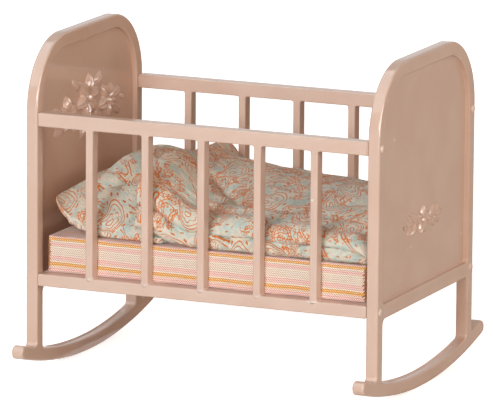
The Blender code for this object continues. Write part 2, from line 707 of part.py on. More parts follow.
def main():
    """Build the whole cradle."""
    clear_scene()
    end_enamel = make_material("end_enamel", (0.66, 0.44, 0.36), 0.25)
    gate_enamel = make_material("gate_enamel", (0.70, 0.49, 0.41), 0.25)
    base_enamel = make_material("base_enamel", (0.62, 0.42, 0.34), 0.3)
    rivet_enamel = make_material("rivet_enamel", (0.66, 0.45, 0.37), 0.25)
    add_ends(end_enamel, rivet_enamel)
    add_gates(gate_enamel)
    add_base(base_enamel)
    add_bedding()


main()
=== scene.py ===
"""Doll cradle: the dressed model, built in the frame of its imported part.

Lengths are in metres and +Z is up. X runs from the head end (-X) to the foot end (+X), the front
gate is on the -Y side, and the cradle stands on Z = 0.
"""

import logging
import math
from dataclasses import dataclass, field
from enum import Enum
from itertools import accumulate, product
from typing import Callable, Iterable, Sequence

import bmesh
import bpy
from mathutils import Matrix, Vector, noise


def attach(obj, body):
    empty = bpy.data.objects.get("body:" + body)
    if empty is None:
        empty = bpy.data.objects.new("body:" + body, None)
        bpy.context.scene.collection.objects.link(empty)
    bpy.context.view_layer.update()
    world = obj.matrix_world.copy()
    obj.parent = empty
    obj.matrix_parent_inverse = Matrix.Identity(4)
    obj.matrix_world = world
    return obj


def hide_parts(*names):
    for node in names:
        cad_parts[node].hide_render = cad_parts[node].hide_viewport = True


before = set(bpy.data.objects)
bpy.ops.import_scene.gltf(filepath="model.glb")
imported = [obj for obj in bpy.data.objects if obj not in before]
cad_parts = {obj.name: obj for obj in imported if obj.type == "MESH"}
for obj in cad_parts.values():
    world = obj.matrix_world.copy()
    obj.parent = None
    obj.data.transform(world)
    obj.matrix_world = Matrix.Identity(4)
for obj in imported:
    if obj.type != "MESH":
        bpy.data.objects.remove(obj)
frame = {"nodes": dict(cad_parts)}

LOG = logging.getLogger("cradle")
Colour = tuple[float, float, float]
Path = Sequence[tuple[float, float]]


class End(Enum):
    """The two end castings, by the side of the middle that they stand on."""

    HEAD = -1
    FOOT = 1

    def placing(self, out: float, across: float = 0.0, up: float = 0.0) -> Matrix:
        """Return the placing of a piece whose +X faces away from the cradle's middle."""
        turn = math.pi if self is End.HEAD else 0.0
        return Matrix.Translation((self.value * out, across, up)) @ Matrix.Rotation(turn, 4, "Z")


class Side(Enum):
    """The two side gates, by the side of the middle that they stand on."""

    FRONT = -1
    BACK = 1


class Lit(Enum):
    """What a lamp lights: everything, only the surfaces' own colour, or only their shine."""

    ALL = "all"
    SURFACE = "surface"
    SHINE = "shine"


# Sizes that several pieces share


@dataclass(frozen=True)
class Frame:
    """Sizes of the cast frame that more than one piece follows."""

    bed_length: float = 0.1000
    width: float = 0.0710
    end_thickness: float = 0.0035
    web: float = 0.0007
    leg_height: float = 0.0255
    rail_depth: float = 0.0037
    bottom_rail: float = 0.0035
    top_rail: float = 0.0039
    rail_spacing: float = 0.0421
    arch_rise: float = 0.01995
    rivet_inset: float = 0.0019
    bars: int = 5
    bar_width: float = 0.0022

    @property
    def half_bed(self) -> float:
        """Half the length between the ends."""
        return self.bed_length / 2

    @property
    def half_width(self) -> float:
        """Half the width of an end."""
        return self.width / 2

    @property
    def rail_top(self) -> float:
        """Height of the bottom rails' upper face."""
        return self.leg_height + self.bottom_rail

    @property
    def upper_rail(self) -> float:
        """Height of the top rails' underside."""
        return self.rail_top + self.rail_spacing

    @property
    def upper_rail_top(self) -> float:
        """Height of the top rails' upper face."""
        return self.upper_rail + self.top_rail

    @property
    def arch_top(self) -> float:
        """Height of the ends' arches."""
        return self.upper_rail_top + self.arch_rise

    @property
    def bar_pitch(self) -> float:
        """Distance between the bars' middles."""
        return (self.bed_length + self.bar_width) / (self.bars + 1)


FRAME = Frame()


# Node graphs


class Value:
    """A socket of a node graph, so that sums of sockets are written as sums."""

    def __init__(self, graph: "Graph", socket: bpy.types.NodeSocket) -> None:
        """Hold a graph's socket."""
        self.graph = graph
        self.socket = socket

    def __add__(self, other: "Term") -> "Value":
        """Return the sum."""
        return self.graph.math("ADD", self, other)

    def __sub__(self, other: "Term") -> "Value":
        """Return the difference."""
        return self.graph.math("SUBTRACT", self, other)

    def __rsub__(self, other: "Term") -> "Value":
        """Return the difference from a number."""
        return self.graph.math("SUBTRACT", other, self)

    def __mul__(self, other: "Term") -> "Value":
        """Return the product."""
        return self.graph.math("MULTIPLY", self, other)

    def __truediv__(self, other: "Term") -> "Value":
        """Return the quotient."""
        return self.graph.math("DIVIDE", self, other)

    def larger(self, other: "Term") -> "Value":
        """Return the larger of two values."""
        return self.graph.math("MAXIMUM", self, other)

    def unsigned(self) -> "Value":
        """Return the value without its sign."""
        return self.graph.math("ABSOLUTE", self)

    def sine(self) -> "Value":
        """Return the value's sine."""
        return self.graph.math("SINE", self)

    def ease(self, low: float, high: float) -> "Value":
        """Ramp the value smoothly from 0 at low to 1 at high."""
        made = self.graph.node("MapRange", interpolation_type="SMOOTHSTEP")
        for socket, item in zip(made.inputs, (self, low, high, 0.0, 1.0)):
            self.graph.feed(socket, item)
        return Value(self.graph, made.outputs[0])


Term = Value | float | tuple


class Graph:
    """The node graph of a material or of the world, built from short calls."""

    def __init__(self, owner: bpy.types.Material | bpy.types.World) -> None:
        """Start the graph of a new material or world."""
        owner.use_nodes = True
        self.owner = owner
        self.tree = owner.node_tree

    def node(self, kind: str, **values: object) -> bpy.types.Node:
        """Add a node and set its properties.

        Args:
            kind: The node's type, without its leading ShaderNode.
            values: Properties of the node by name.

        Returns:
            The node.
        """
        made = self.tree.nodes.new("ShaderNode" + kind)
        for key, value in values.items():
            setattr(made, key, value)
        return made

    def feed(self, socket: bpy.types.NodeSocket, value: Term) -> None:
        """Link a socket to a value's socket, or set its own.

        Args:
            socket: The input to fill.
            value: A value, a number, a vector or a colour.
        """
        if isinstance(value, Value):
            self.tree.links.new(value.socket, socket)
        elif isinstance(value, tuple) and socket.type == "RGBA":
            socket.default_value = (*value, 1.0)
        else:
            socket.default_value = value

    def math(self, operation: str, *inputs: Term, clamp: bool = False) -> Value:
        """Add a Math node.

        Args:
            operation: Name of the operation.
            inputs: Its terms, in order.
            clamp: Whether the result is kept from 0 to 1.

        Returns:
            The result.
        """
        made = self.node("Math", operation=operation, use_clamp=clamp)
        for socket, value in zip(made.inputs, inputs):
            self.feed(socket, value)
        return Value(self, made.outputs[0])

    def vector(self, operation: str, first: Term, second: Term = (0.0, 0.0, 0.0)) -> Value:
        """Add a Vector Math node.

        Args:
            operation: Name of the operation.
            first: Its first vector.
            second: Its second vector, or the factor of a scale.

        Returns:
            The vector result, or the number where the operation gives one.
        """
        made = self.node("VectorMath", operation=operation)
        self.feed(made.inputs[0], first)
        self.feed(made.inputs["Scale" if operation == "SCALE" else 1], second)
        return Value(self, made.outputs["Value" if operation in ("LENGTH", "DOT_PRODUCT") else "Vector"])

    def split(self, vector: Value) -> list[Value]:
        """Split a vector into its X, Y and Z."""
        made = self.node("SeparateXYZ")
        self.feed(made.inputs[0], vector)
        return [Value(self, socket) for socket in made.outputs]

    def join(self, x: Term, y: Term, z: Term = 0.0) -> Value:
        """Join X, Y and Z into a vector."""
        made = self.node("CombineXYZ")
        for socket, value in zip(made.inputs, (x, y, z)):
            self.feed(socket, value)
        return Value(self, made.outputs[0])

    def length(self, x: Term, y: Term) -> Value:
        """Return the length of a flat vector."""
        return self.vector("LENGTH", self.join(x, y))

    def noise(self, vector: Value, scale: float, detail: float = 2.0, rough: float = 0.5,
              output: str = "Fac") -> Value:
        """Add a Noise texture.

        Args:
            vector: Where it is read.
            scale: Its scale.
            detail: Its detail.
            rough: Its roughness.
            output: The output's name, Fac or Color.

        Returns:
            The noise.
        """
        made = self.node("TexNoise")
        for name, value in (("Vector", vector), ("Scale", scale), ("Detail", detail), ("Roughness", rough)):
            self.feed(made.inputs[name], value)
        return Value(self, made.outputs[output])

    def mix(self, share: Term, first: Term, second: Term, blend: str = "MIX") -> Value:
        """Mix two colours.

        Args:
            share: How much of the second colour there is.
            first: The first colour.
            second: The second colour.
            blend: The blend type.

        Returns:
            The mixed colour.
        """
        made = self.node("Mix", data_type="RGBA", blend_type=blend)
        for index, value in ((0, share), (6, first), (7, second)):
            self.feed(made.inputs[index], value)
        return Value(self, made.outputs[2])

    def shaded(self, colour: Value, shade: Value) -> Value:
        """Return a colour times a grey shade."""
        return self.mix(1.0, colour, self.join(shade, shade, shade), "MULTIPLY")

    def bands(self, share: Value, stops: Sequence[tuple[float, Colour]]) -> Value:
        """Colour a value by bands with hard edges.

        Args:
            share: The value, from 0 to 1.
            stops: Where each band starts, and its colour.

        Returns:
            The colour.
        """
        made = self.node("ValToRGB")
        ramp = made.color_ramp
        ramp.interpolation = "CONSTANT"
        for index, (place, colour) in enumerate(stops):
            stop = ramp.elements[index] if index < 2 else ramp.elements.new(place)
            stop.position = place
            stop.color = (*colour, 1.0)
        self.feed(made.inputs[0], share)
        return Value(self, made.outputs[0])

    def bump(self, height: Value, distance: float, strength: float = 1.0,
             below: Value | None = None) -> Value:
        """Add a Bump node.

        Args:
            height: The height.
            distance: Its scale in metres.
            strength: Its strength.
            below: The normal of a bump that this one lies on.

        Returns:
            The normal.
        """
        made = self.node("Bump")
        for name, value in (("Height", height), ("Distance", distance), ("Strength", strength)):
            self.feed(made.inputs[name], value)
        if below is not None:
            self.feed(made.inputs["Normal"], below)
        return Value(self, made.outputs[0])

    def place(self) -> Value:
        """Return the Object coordinates."""
        return Value(self, self.node("TexCoord").outputs["Object"])

    def cloth_place(self) -> Value:
        """Return the cloth's own coordinates, in millimetres along and across it."""
        return self.vector("SCALE", Value(self, self.node("UVMap", uv_map="cloth").outputs[0]), 1000.0)

    def finish(self, colour: Term, roughness: Term, normal: Value | None = None, specular: float = 0.5,
               sheen: float = 0.0) -> bpy.types.Material:
        """Fill the sockets of a material's shader.

        Args:
            colour: The base colour.
            roughness: The roughness.
            normal: The normal, where it isn't the mesh's own.
            specular: The specular level.
            sheen: The sheen's weight.

        Returns:
            The material.
        """
        values = {"Base Color": colour, "Roughness": roughness, "Normal": normal,
                  "Specular IOR Level": specular, "Sheen Weight": sheen}
        shader = self.tree.nodes["Principled BSDF"]
        for name, value in values.items():
            if value is not None:
                self.feed(shader.inputs[name], value)
        return self.owner


# Finishes


@dataclass(frozen=True)
class Enamel:
    """Glossy paint, dipped heavily over a casting, with a slow wave and a few pale specks: raised paint
    specks whose pale colour is partly a painted glint.
    """

    name: str
    colour: Colour
    roughness: float
    specks_and_glints: float
    pool_pitch: float = 0.0
    pool_radius: float = 0.0010
    pool_height: float = 0.0006
    pool_drop: float = 0.0003
    thin: Colour = (0.78, 0.60, 0.50)
    # pale colour of the specks and of the pooled paint, partly a painted highlight
    pale_speck_and_highlight: Colour = (0.88, 0.80, 0.75)
    deepening: Colour = (0.97, 0.94, 0.92)

    def pool_and_highlight(self, g: Graph, place: Value) -> Value:
        """Return where the paint pooled: a round spot on the lower rail under each bar, raised there and
        lightened as a painted highlight.
        """
        x, _, z = g.split(place)
        aside = g.math("PINGPONG", x, self.pool_pitch / 2) / self.pool_radius
        above = (z - (FRAME.rail_top - self.pool_drop)) / self.pool_height
        return 1.0 - g.length(aside, above).ease(0.2, 1.0)

    def material(self) -> bpy.types.Material:
        """Make the finish's material.

        Returns:
            The material.
        """
        g = Graph(bpy.data.materials.new(self.name))
        place = g.place()
        broad = g.noise(place, 55.0)
        fine = g.noise(place, 900.0, 3.0, 0.6)
        deep = tuple(shade * share for shade, share in zip(self.colour, self.deepening))
        tint = g.mix(broad.ease(0.35, 0.65), deep, self.colour)
        tint = g.mix(fine.ease(0.45, 0.8) * 0.06, tint, self.thin)
        spots = g.noise(g.vector("MULTIPLY", place, (0.6, 0.6, 1.3)), 330.0, 2.0, 0.6).ease(0.700, 0.745)
        speck_and_glint = spots * g.noise(place, 70.0, 1.0).ease(0.50, 0.56) * self.specks_and_glints
        pool_and_highlight = self.pool_and_highlight(g, place) if self.pool_pitch else None
        if pool_and_highlight:
            # the pooled paint's paler colour is a painted highlight; the bump further down is real pooled
            # paint
            speck_and_glint = speck_and_glint.larger(pool_and_highlight * 0.45)
        normal = g.bump(speck_and_glint, 0.00012, 0.6, g.bump(broad, 0.0005, 0.12))
        if pool_and_highlight:
            normal = g.bump(pool_and_highlight, 0.00030, 1.0, normal)
        normal = g.bump(g.noise(place, 260.0, 1.0), 0.00002, 0.3, normal)
        # the pale mix paints the specks' and the pooled paint's glints: painted highlight over real raised
        # paint
        return g.finish(g.mix(speck_and_glint, tint, self.pale_speck_and_highlight), (broad - 0.5) * 0.04 + self.roughness, normal, 0.4)


@dataclass(frozen=True)
class Ticking:
    """Striped cotton twill: pink, cream and ochre bands that run along the mattress."""

    name: str
    repeat: float = 14.0
    rib: float = 0.73
    pink: Colour = (0.82, 0.49, 0.43)
    cream: Colour = (0.83, 0.68, 0.55)
    ochre: Colour = (0.78, 0.36, 0.07)
    line: Colour = (0.70, 0.50, 0.42)

    def material(self) -> bpy.types.Material:
        """Make the finish's material.

        Returns:
            The material.
        """
        g = Graph(bpy.data.materials.new(self.name))
        cloth = g.cloth_place()
        along, across, _ = g.split(cloth)
        twill = ((along + across) * (2 * math.pi / self.rib)).sine()
        weft = (across * (2 * math.pi / (0.8 * self.rib))).sine()
        grain = twill * 0.65 + weft * 0.35
        drift = (g.noise(cloth, 0.12, 1.0) - 0.5) * 0.3
        row = g.math("FRACT", (across + drift + twill * 0.09) / self.repeat)
        pink, cream, ochre, line = self.pink, self.cream, self.ochre, self.line
        bands = (
            (0.0, pink), (1.50, cream), (1.80, ochre), (2.85, cream), (3.35, pink), (4.75, cream),
            (5.20, line), (5.36, cream), (5.82, line), (5.98, cream), (6.55, line), (6.71, cream),
            (7.45, pink), (8.65, cream), (9.15, ochre), (10.0, pink), (11.1, line), (11.3, pink),
            (12.2, cream), (12.45, pink),
        )
        colour = g.bands(row, [(place / self.repeat, shade) for place, shade in bands])
        colour = g.mix((twill * weft).ease(0.1, 0.6) * 0.6, colour, cream)
        slub = g.noise(g.vector("MULTIPLY", cloth, (0.5, 3.0, 1.0)), 1.1)
        shade = (grain * 0.50 + 0.97) * (slub * 0.16 + 0.92)
        return g.finish(g.shaded(colour, shade), 0.9, g.bump(grain, 0.00008, 0.8), 0.2, 0.25)


def stroke(distance: Value, width: float) -> Value:
    """Return a line's cover from the distance to its middle, both in millimetres."""
    return 1.0 - distance.unsigned().ease(width * 0.65, width * 1.25)


@dataclass(frozen=True)
class PaisleyCotton:
    """Fine printed cotton: paisley drops, tangled sprays and short dashes on pale blue and cream."""

    name: str
    seed: float
    sparse: float
    cream: Colour = (0.86, 0.77, 0.62)
    blue: Colour = (0.56, 0.68, 0.61)
    stain: Colour = (0.74, 0.64, 0.54)
    ink: Colour = (0.75, 0.185, 0.012)
    motif: float = 18.0
    thread: float = 0.30

    def local(self, g: Graph, cloth: Value, cell: float, jitter: float,
              spin: float) -> tuple[Value, Value, Value]:
        """Scatter motifs over the cloth.

        Args:
            g: The graph.
            cloth: The cloth's coordinates, in millimetres.
            cell: The distance between motifs, in millimetres.
            jitter: How far they stray from a grid, from 0 to 1.
            spin: The widest turn of a motif, in radians.

        Returns:
            The X and Y of each point in its motif's own turned frame, and the motif's random colour.
        """
        cells = g.node("TexVoronoi", voronoi_dimensions="2D")
        scaled = g.vector("SCALE", cloth, 1.0 / cell)
        for name, value in (("Vector", scaled), ("Scale", 1.0), ("Randomness", jitter)):
            g.feed(cells.inputs[name], value)
        offset = g.vector("SCALE", g.vector("SUBTRACT", scaled, Value(g, cells.outputs["Position"])), cell)
        chance = Value(g, cells.outputs["Color"])
        turn = g.node("VectorRotate", rotation_type="Z_AXIS")
        g.feed(turn.inputs["Vector"], offset)
        g.feed(turn.inputs["Angle"], g.split(chance)[0] * spin)
        x, y, _ = g.split(Value(g, turn.outputs[0]))
        return x, y, chance

    def contour(self, g: Graph, place: Value, scale: float, levels: float, nudge: float = 0.2) -> Value:
        """Measure how far the nearest level line of a noise is.

        Args:
            g: The graph.
            place: Where the noise is read, in millimetres.
            scale: The noise's scale.
            levels: How many level lines it has from 0 to 1.
            nudge: The step over which its slope is measured.

        Returns:
            The distance in millimetres.
        """
        here = g.noise(place, scale, 0.0) * levels
        slopes = []
        for step in ((nudge, 0.0, 0.0), (0.0, nudge, 0.0)):
            there = g.noise(g.vector("ADD", place, step), scale, 0.0) * levels
            slopes.append((there - here) / nudge)
        return (here - g.math("ROUND", here)).unsigned() / g.length(*slopes).larger(0.08)

    def drops(self, g: Graph, cloth: Value) -> tuple[Value, Value]:
        """Draw the paisley drops.

        Args:
            g: The graph.
            cloth: The cloth's coordinates, in millimetres.

        Returns:
            The cover of the drops' lines, and how far inside a drop a point lies.
        """
        x, y, _ = self.local(g, cloth, self.motif, 0.5, 2 * math.pi)
        size = self.motif * 0.36
        y = y / size
        width = (y * -0.40 + 0.52).larger(0.10)
        x = (x / size - (y * y * 0.55 - 0.12)) / width
        reach = g.length(x, y)
        ruler = reach * size / g.length(x / width, y).larger(0.05)
        angle = g.math("ARCTAN2", x, y)
        scallop = (angle * 4.0).sine().unsigned() * 0.15
        cover: Term = 0.0
        for level, pen in ((1.0, 0.17), (0.82, 0.14), (scallop + 0.46, 0.15), (0.20, 0.17)):
            cover = stroke((reach - level) * ruler, pen).larger(cover)
        fringe = (angle * 13.0).sine().ease(0.4, 0.7) * stroke((reach - 1.22) * ruler, 0.34)
        return fringe.larger(cover), 1.0 - reach.ease(1.34, 1.42)

    def vines(self, g: Graph, cloth: Value) -> Value:
        """Return the cover of the long double lines that wander between the drops."""
        return stroke(self.contour(g, g.vector("ADD", cloth, (11.0, 47.0, 0.0)), 0.07, 4.0) - 0.40, 0.15)

    def sprays(self, g: Graph, cloth: Value) -> tuple[Value, Value]:
        """Draw the flowers and tendrils between the drops.

        Args:
            g: The graph.
            cloth: The cloth's coordinates, in millimetres.

        Returns:
            The cover of their lines, and where they crowd.
        """
        cover: Term = 0.0
        for cell, radius, lobes, shift in ((2.9, 0.85, 5.0, 0.0), (2.1, 0.50, 3.0, 40.0)):
            x, y, _ = self.local(g, g.vector("ADD", cloth, (shift, shift, 0.0)), cell, 0.8, 2 * math.pi)
            lobe = (g.math("ARCTAN2", x, y) * lobes).sine()
            cover = stroke(g.length(x, y) - (lobe * 0.28 + 1.0) * radius, 0.14).larger(cover)
        gaps = g.noise(g.vector("ADD", cloth, (5.0, 91.0, 0.0)), 0.6, 1.0).ease(0.42, 0.48)
        tendrils = stroke(self.contour(g, cloth, 0.24, 6.0), 0.15) * gaps
        crowding = g.noise(g.vector("ADD", cloth, (31.0, 7.0, 0.0)), 0.10, 1.0)
        cluster = crowding.ease(self.sparse, self.sparse + 0.03)
        return tendrils.larger(cover) * cluster, cluster

    def dashes(self, g: Graph, cloth: Value) -> Value:
        """Return the cover of the short dashes."""
        x, y, chance = self.local(g, cloth, 2.7, 0.8, 2.2)
        long = 1.0 - y.unsigned().ease(0.42, 0.60)
        thin = 1.0 - x.unsigned().ease(0.12, 0.24)
        return long * thin * g.split(chance)[1].ease(0.22, 0.26)

    def ground(self, g: Graph, cloth: Value, inside: Value) -> Value:
        """Return the cloth's ground: patches of blue on cream, with a faint stain."""
        patch = g.noise(cloth, 0.24, 3.0, 0.6).ease(0.40, 0.62) * (1.0 - inside * 0.4)
        stain = g.noise(cloth, 0.9, 3.0, 0.6).ease(0.35, 0.7) * 0.35
        return g.mix(stain, g.mix(patch, self.cream, self.blue), self.stain)

    def material(self) -> bpy.types.Material:
        """Make the finish's material.

        Returns:
            The material.
        """
        g = Graph(bpy.data.materials.new(self.name))
        cloth = g.vector("ADD", g.cloth_place(), (self.seed, self.seed * 0.7, 0.0))
        inked = cloth
        for scale, reach in ((0.11, 4.0), (1.2, 0.16)):
            sway = g.vector("SUBTRACT", g.noise(cloth, scale, 1.0, output="Color"), (0.5, 0.5, 0.5))
            inked = g.vector("ADD", inked, g.vector("SCALE", sway, reach))
        drops, inside = self.drops(g, inked)
        sprays, cluster = self.sprays(g, inked)
        vines = self.vines(g, inked)
        dashes = self.dashes(g, cloth) * g.math("SUBTRACT", 1.0 - cluster, vines, clamp=True)
        cover = drops.larger(sprays.larger(vines).larger(dashes) * (1.0 - inside))
        faded = g.noise(cloth, 2.2).ease(0.3, 0.7) * 0.14 + 0.90
        colour = g.mix(cover * faded, self.ground(g, cloth, inside), self.ink)
        warp, weft = [(axis * (2 * math.pi / self.thread)).sine() for axis in g.split(cloth)[:2]]
        grain = warp * weft
        slub = g.noise(g.vector("MULTIPLY", cloth, (0.6, 4.0, 1.0)), 1.2)
        shade = (grain * 0.07 + 0.96) * (slub * 0.24 + 0.88)
        crinkle = g.bump(g.noise(cloth, 0.8, 3.0, 0.6), 0.0009, 0.7)
        return g.finish(g.shaded(colour, shade), 0.92, g.bump(grain, 0.00005, 0.6, crinkle), 0.2, 0.2)


@dataclass(frozen=True)
class Thread:
    """Twisted cotton thread."""

    name: str
    colour: Colour
    twist: float = 0.00035
    shadow: float = 0.7

    def material(self) -> bpy.types.Material:
        """Make the finish's material.

        Returns:
            The material.
        """
        g = Graph(bpy.data.materials.new(self.name))
        ply = (g.vector("DOT_PRODUCT", g.place(), (1.0, 1.0, 1.0)) * (2 * math.pi / self.twist)).sine()
        dark = tuple(shade * self.shadow for shade in self.colour)
        return g.finish(g.mix(ply.ease(-1.0, 1.0), dark, self.colour), 0.8, g.bump(ply, 0.00004, 0.6), 0.5)


END_ENAMEL = Enamel("end_enamel", (0.66, 0.46, 0.365), 0.035, 0.35)
GATE_ENAMEL = Enamel("gate_enamel", (0.67, 0.475, 0.385), 0.10, 0.9, FRAME.bar_pitch)
BASE_ENAMEL = Enamel("base_enamel", (0.62, 0.43, 0.35), 0.36, 0.5)
RIVET_ENAMEL = Enamel("rivet_enamel", (0.72, 0.54, 0.45), 0.16, 0.3)
MATTRESS_TICKING = Ticking("striped_ticking")
PILLOW_COTTON = PaisleyCotton("pillow_cotton", 23.0, 0.54)
DUVET_COTTON = PaisleyCotton("duvet_cotton", 61.0, 0.455)
SEAM_THREAD = Thread("seam_thread", (0.60, 0.22, 0.06))


# Outlines and castings


def clamp(value: float, low: float = 0.0, high: float = 1.0) -> float:
    """Keep a value within a range."""
    return max(low, min(high, value))


def smooth_step(share: float) -> float:
    """Return an S-shaped ramp from 0 to 1, flat outside that range."""
    share = clamp(share)
    return share * share * (3 - 2 * share)


def arc(centre: Sequence[float], radius: float, start: float, end: float, steps: int) -> list[Vector]:
    """Return the points of an arc, one more than it has steps, with angles from the first axis."""
    angles = [start + (end - start) * step / steps for step in range(steps + 1)]
    return [Vector((centre[0] + radius * math.cos(a), centre[1] + radius * math.sin(a))) for a in angles]


def quarter(steps: int) -> list[float]:
    """Return the angles of a quarter turn in even steps, from 0."""
    return [math.pi / 2 * step / steps for step in range(steps + 1)]


def fillet(before: Vector, corner: Vector, after: Vector, radius: float, steps: int = 5) -> list[Vector]:
    """Return the round corner between two straight runs.

    Args:
        before: A point on the run that comes in.
        corner: The corner.
        after: A point on the run that goes out.
        radius: The fillet's radius.
        steps: How many straight steps it has.

    Returns:
        The fillet's points.
    """
    back = (before - corner).normalized()
    ahead = (after - corner).normalized()
    half = back.angle(ahead) / 2
    centre = corner + (back + ahead).normalized() * (radius / math.sin(half))
    first = corner + back * (radius / math.tan(half))
    last = corner + ahead * (radius / math.tan(half))
    start = math.atan2(first.y - centre.y, first.x - centre.x)
    end = math.atan2(last.y - centre.y, last.x - centre.x)
    sweep = (end - start + math.pi) % (2 * math.pi) - math.pi
    return arc(centre, radius, start, start + sweep, steps)


def rounded(corners: Sequence[tuple[float, float, float]], steps: int = 5) -> list[Vector]:
    """Return a closed outline with round corners.

    Args:
        corners: Each corner's two coordinates and its radius; a radius of 0 leaves it sharp.
        steps: How many steps each round corner has.

    Returns:
        The outline's points.
    """
    points = [Vector(corner[:2]) for corner in corners]
    made: list[Vector] = []
    for index, (point, corner) in enumerate(zip(points, corners)):
        after = points[(index + 1) % len(points)]
        made += fillet(points[index - 1], point, after, corner[2], steps) if corner[2] else [point]
    return made


def mirrored(half: list[Vector]) -> list[Vector]:
    """Close an outline from its right half, which runs upwards from near the middle line."""
    return half + [Vector((-point.x, point.y)) for point in reversed(half)]


def offset_outline(points: Sequence[Vector], distance: float) -> list[Vector]:
    """Move an anticlockwise outline outwards, with mitred corners.

    Args:
        points: The outline.
        distance: How far it moves.

    Returns:
        The moved outline.
    """
    moved = []
    for index, point in enumerate(points):
        before = (point - points[index - 1]).normalized()
        after = (points[(index + 1) % len(points)] - point).normalized()
        normal_before = Vector((before.y, -before.x))
        normal_after = Vector((after.y, -after.x))
        mitre = (normal_before + normal_after).normalized()
        moved.append(point + mitre * (distance / mitre.dot(normal_after)))
    return moved


def edge_round(face: float, radius: float, inward: bool, steps: int = 4) -> list[tuple[float, float]]:
    """Return the path of a round edge between a plate's front face and a wall.

    Args:
        face: Half the plate's thickness.
        radius: The edge's radius.
        inward: True on an outer wall, whose face lies inside its outline.
        steps: How many steps the edge has.

    Returns:
        Pairs of depth and offset, from the face to the wall.
    """
    reach = -radius if inward else radius
    turns = [(1 - math.cos(angle), 1 - math.sin(angle)) for angle in quarter(steps)]
    return [(face - radius * back, reach * aside) for back, aside in turns]


def edge_path(face: float, radius: float, inward: bool, between: Path = ()) -> list[tuple[float, float]]:
    """Return the path of a wall through a plate, with a round edge at both faces and points between."""
    front = edge_round(face, radius, inward)
    return [*front, *between, *[(-depth, offset) for depth, offset in reversed(front)]]


class Casting:
    """A mesh made of walls round outlines and of the flat faces between them."""

    def __init__(self) -> None:
        """Start an empty mesh, with no rings round its front and back faces."""
        self.bm = bmesh.new()
        self.rings: tuple[list, list] = ([], [])

    def extrude_ring(self, verts: list, edges: list, points: Sequence[Vector],
                     depth: float) -> tuple[list, list]:
        """Extrude a closed ring of edges to an outline at a depth.

        Args:
            verts: The ring's points, in order.
            edges: The ring's edges.
            points: Where the new ring's points go.
            depth: The depth of the new ring's plane.

        Returns:
            The new ring's points and edges.
        """
        grown = bmesh.ops.extrude_edge_only(self.bm, edges=edges)["geom"]
        fresh = {item for item in grown if isinstance(item, bmesh.types.BMVert)}
        drawn = [item for item in grown if isinstance(item, bmesh.types.BMEdge)]
        ring = []
        for vert, point in zip(verts, points):
            joined = [edge.other_vert(vert) for edge in vert.link_edges]
            partner = next(other for other in joined if other in fresh)
            partner.co = (depth, point.x, point.y)
            ring.append(partner)
        return ring, [edge for edge in drawn if fresh.issuperset(edge.verts)]

    def wall(self, outline: Sequence[Vector], path: Path) -> tuple[list, list]:
        """Build a wall round an outline.

        Args:
            outline: The outline, anticlockwise.
            path: Pairs of depth and offset.

        Returns:
            The edges of the wall's first and last rings.
        """
        depth, offset = path[0]
        verts = [self.bm.verts.new((depth, point.x, point.y)) for point in offset_outline(outline, offset)]
        first = [self.bm.edges.new((verts[index - 1], vert)) for index, vert in enumerate(verts)]
        edges = first
        for depth, offset in path[1:]:
            verts, edges = self.extrude_ring(verts, edges, offset_outline(outline, offset), depth)
        return first, edges

    def cut(self, outline: Sequence[Vector], path: Path) -> None:
        """Build a wall through the whole plate, and keep its rings for the plate's two faces."""
        for ring, edges in zip(self.rings, self.wall(outline, path)):
            ring.extend(edges)

    def fill(self, edges: list) -> None:
        """Fill the flat face between closed rings of edges."""
        bmesh.ops.triangle_fill(self.bm, edges=edges, use_beauty=True)

    def bar(self, size: Sequence[float], centre: Sequence[float], radius: float) -> None:
        """Add a box with round edges.

        Args:
            size: Its size along each axis.
            centre: Its centre.
            radius: The radius of its edges.
        """
        verts = bmesh.ops.create_cube(self.bm, size=1)["verts"]
        bmesh.ops.scale(self.bm, vec=size, verts=verts)
        bmesh.ops.translate(self.bm, vec=centre, verts=verts)
        edges = list(dict.fromkeys(edge for vert in verts for edge in vert.link_edges))
        bmesh.ops.bevel(self.bm, geom=edges, offset=radius, segments=3, profile=0.5, affect="EDGES",
                        material=-1)


def add_object(name: str, data: bpy.types.ID) -> bpy.types.Object:
    """Add an object to the scene, at the origin."""
    made = bpy.data.objects.new(name, data)
    bpy.context.collection.objects.link(made)
    return made


def add_mesh(name: str, bm: bmesh.types.BMesh, *materials: bpy.types.Material) -> bpy.types.Object:
    """Add a mesh to the scene, as an object at the origin.

    Args:
        name: The object's name.
        bm: Its mesh, which is freed.
        materials: Its materials.

    Returns:
        The object.
    """
    mesh = bpy.data.meshes.new(name)
    bm.to_mesh(mesh)
    bm.free()
    for material in materials:
        mesh.materials.append(material)
    return add_object(name, mesh)


def finish_piece(name: str, bm: bmesh.types.BMesh, material: bpy.types.Material, body: str,
                 nodes: Iterable[str] = (), smooth_angle: float = 40.0,
                 weighted: bool = True) -> bpy.types.Object:
    """Turn a mesh into a finished piece of the cradle.

    Args:
        name: The piece's name.
        bm: Its mesh, which is freed.
        material: Its finish.
        body: The body that it rides on.
        nodes: The nodes that it stands for.
        smooth_angle: Edges that turn by more than this many degrees stay sharp.
        weighted: Whether large faces set the shading of their edges.

    Returns:
        The piece.
    """
    bmesh.ops.recalc_face_normals(bm, faces=bm.faces)
    piece = add_mesh(name, bm, material)
    piece.data.shade_smooth()
    piece.data.set_sharp_from_angle(angle=math.radians(smooth_angle))
    if weighted:
        shading = piece.modifiers.new("face_weight", "WEIGHTED_NORMAL")
        shading.keep_sharp = True
    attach(piece, body)
    if nodes:
        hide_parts(*nodes)
    LOG.info("%s: %d faces, rides on %s", name, len(piece.data.polygons), body)
    return piece


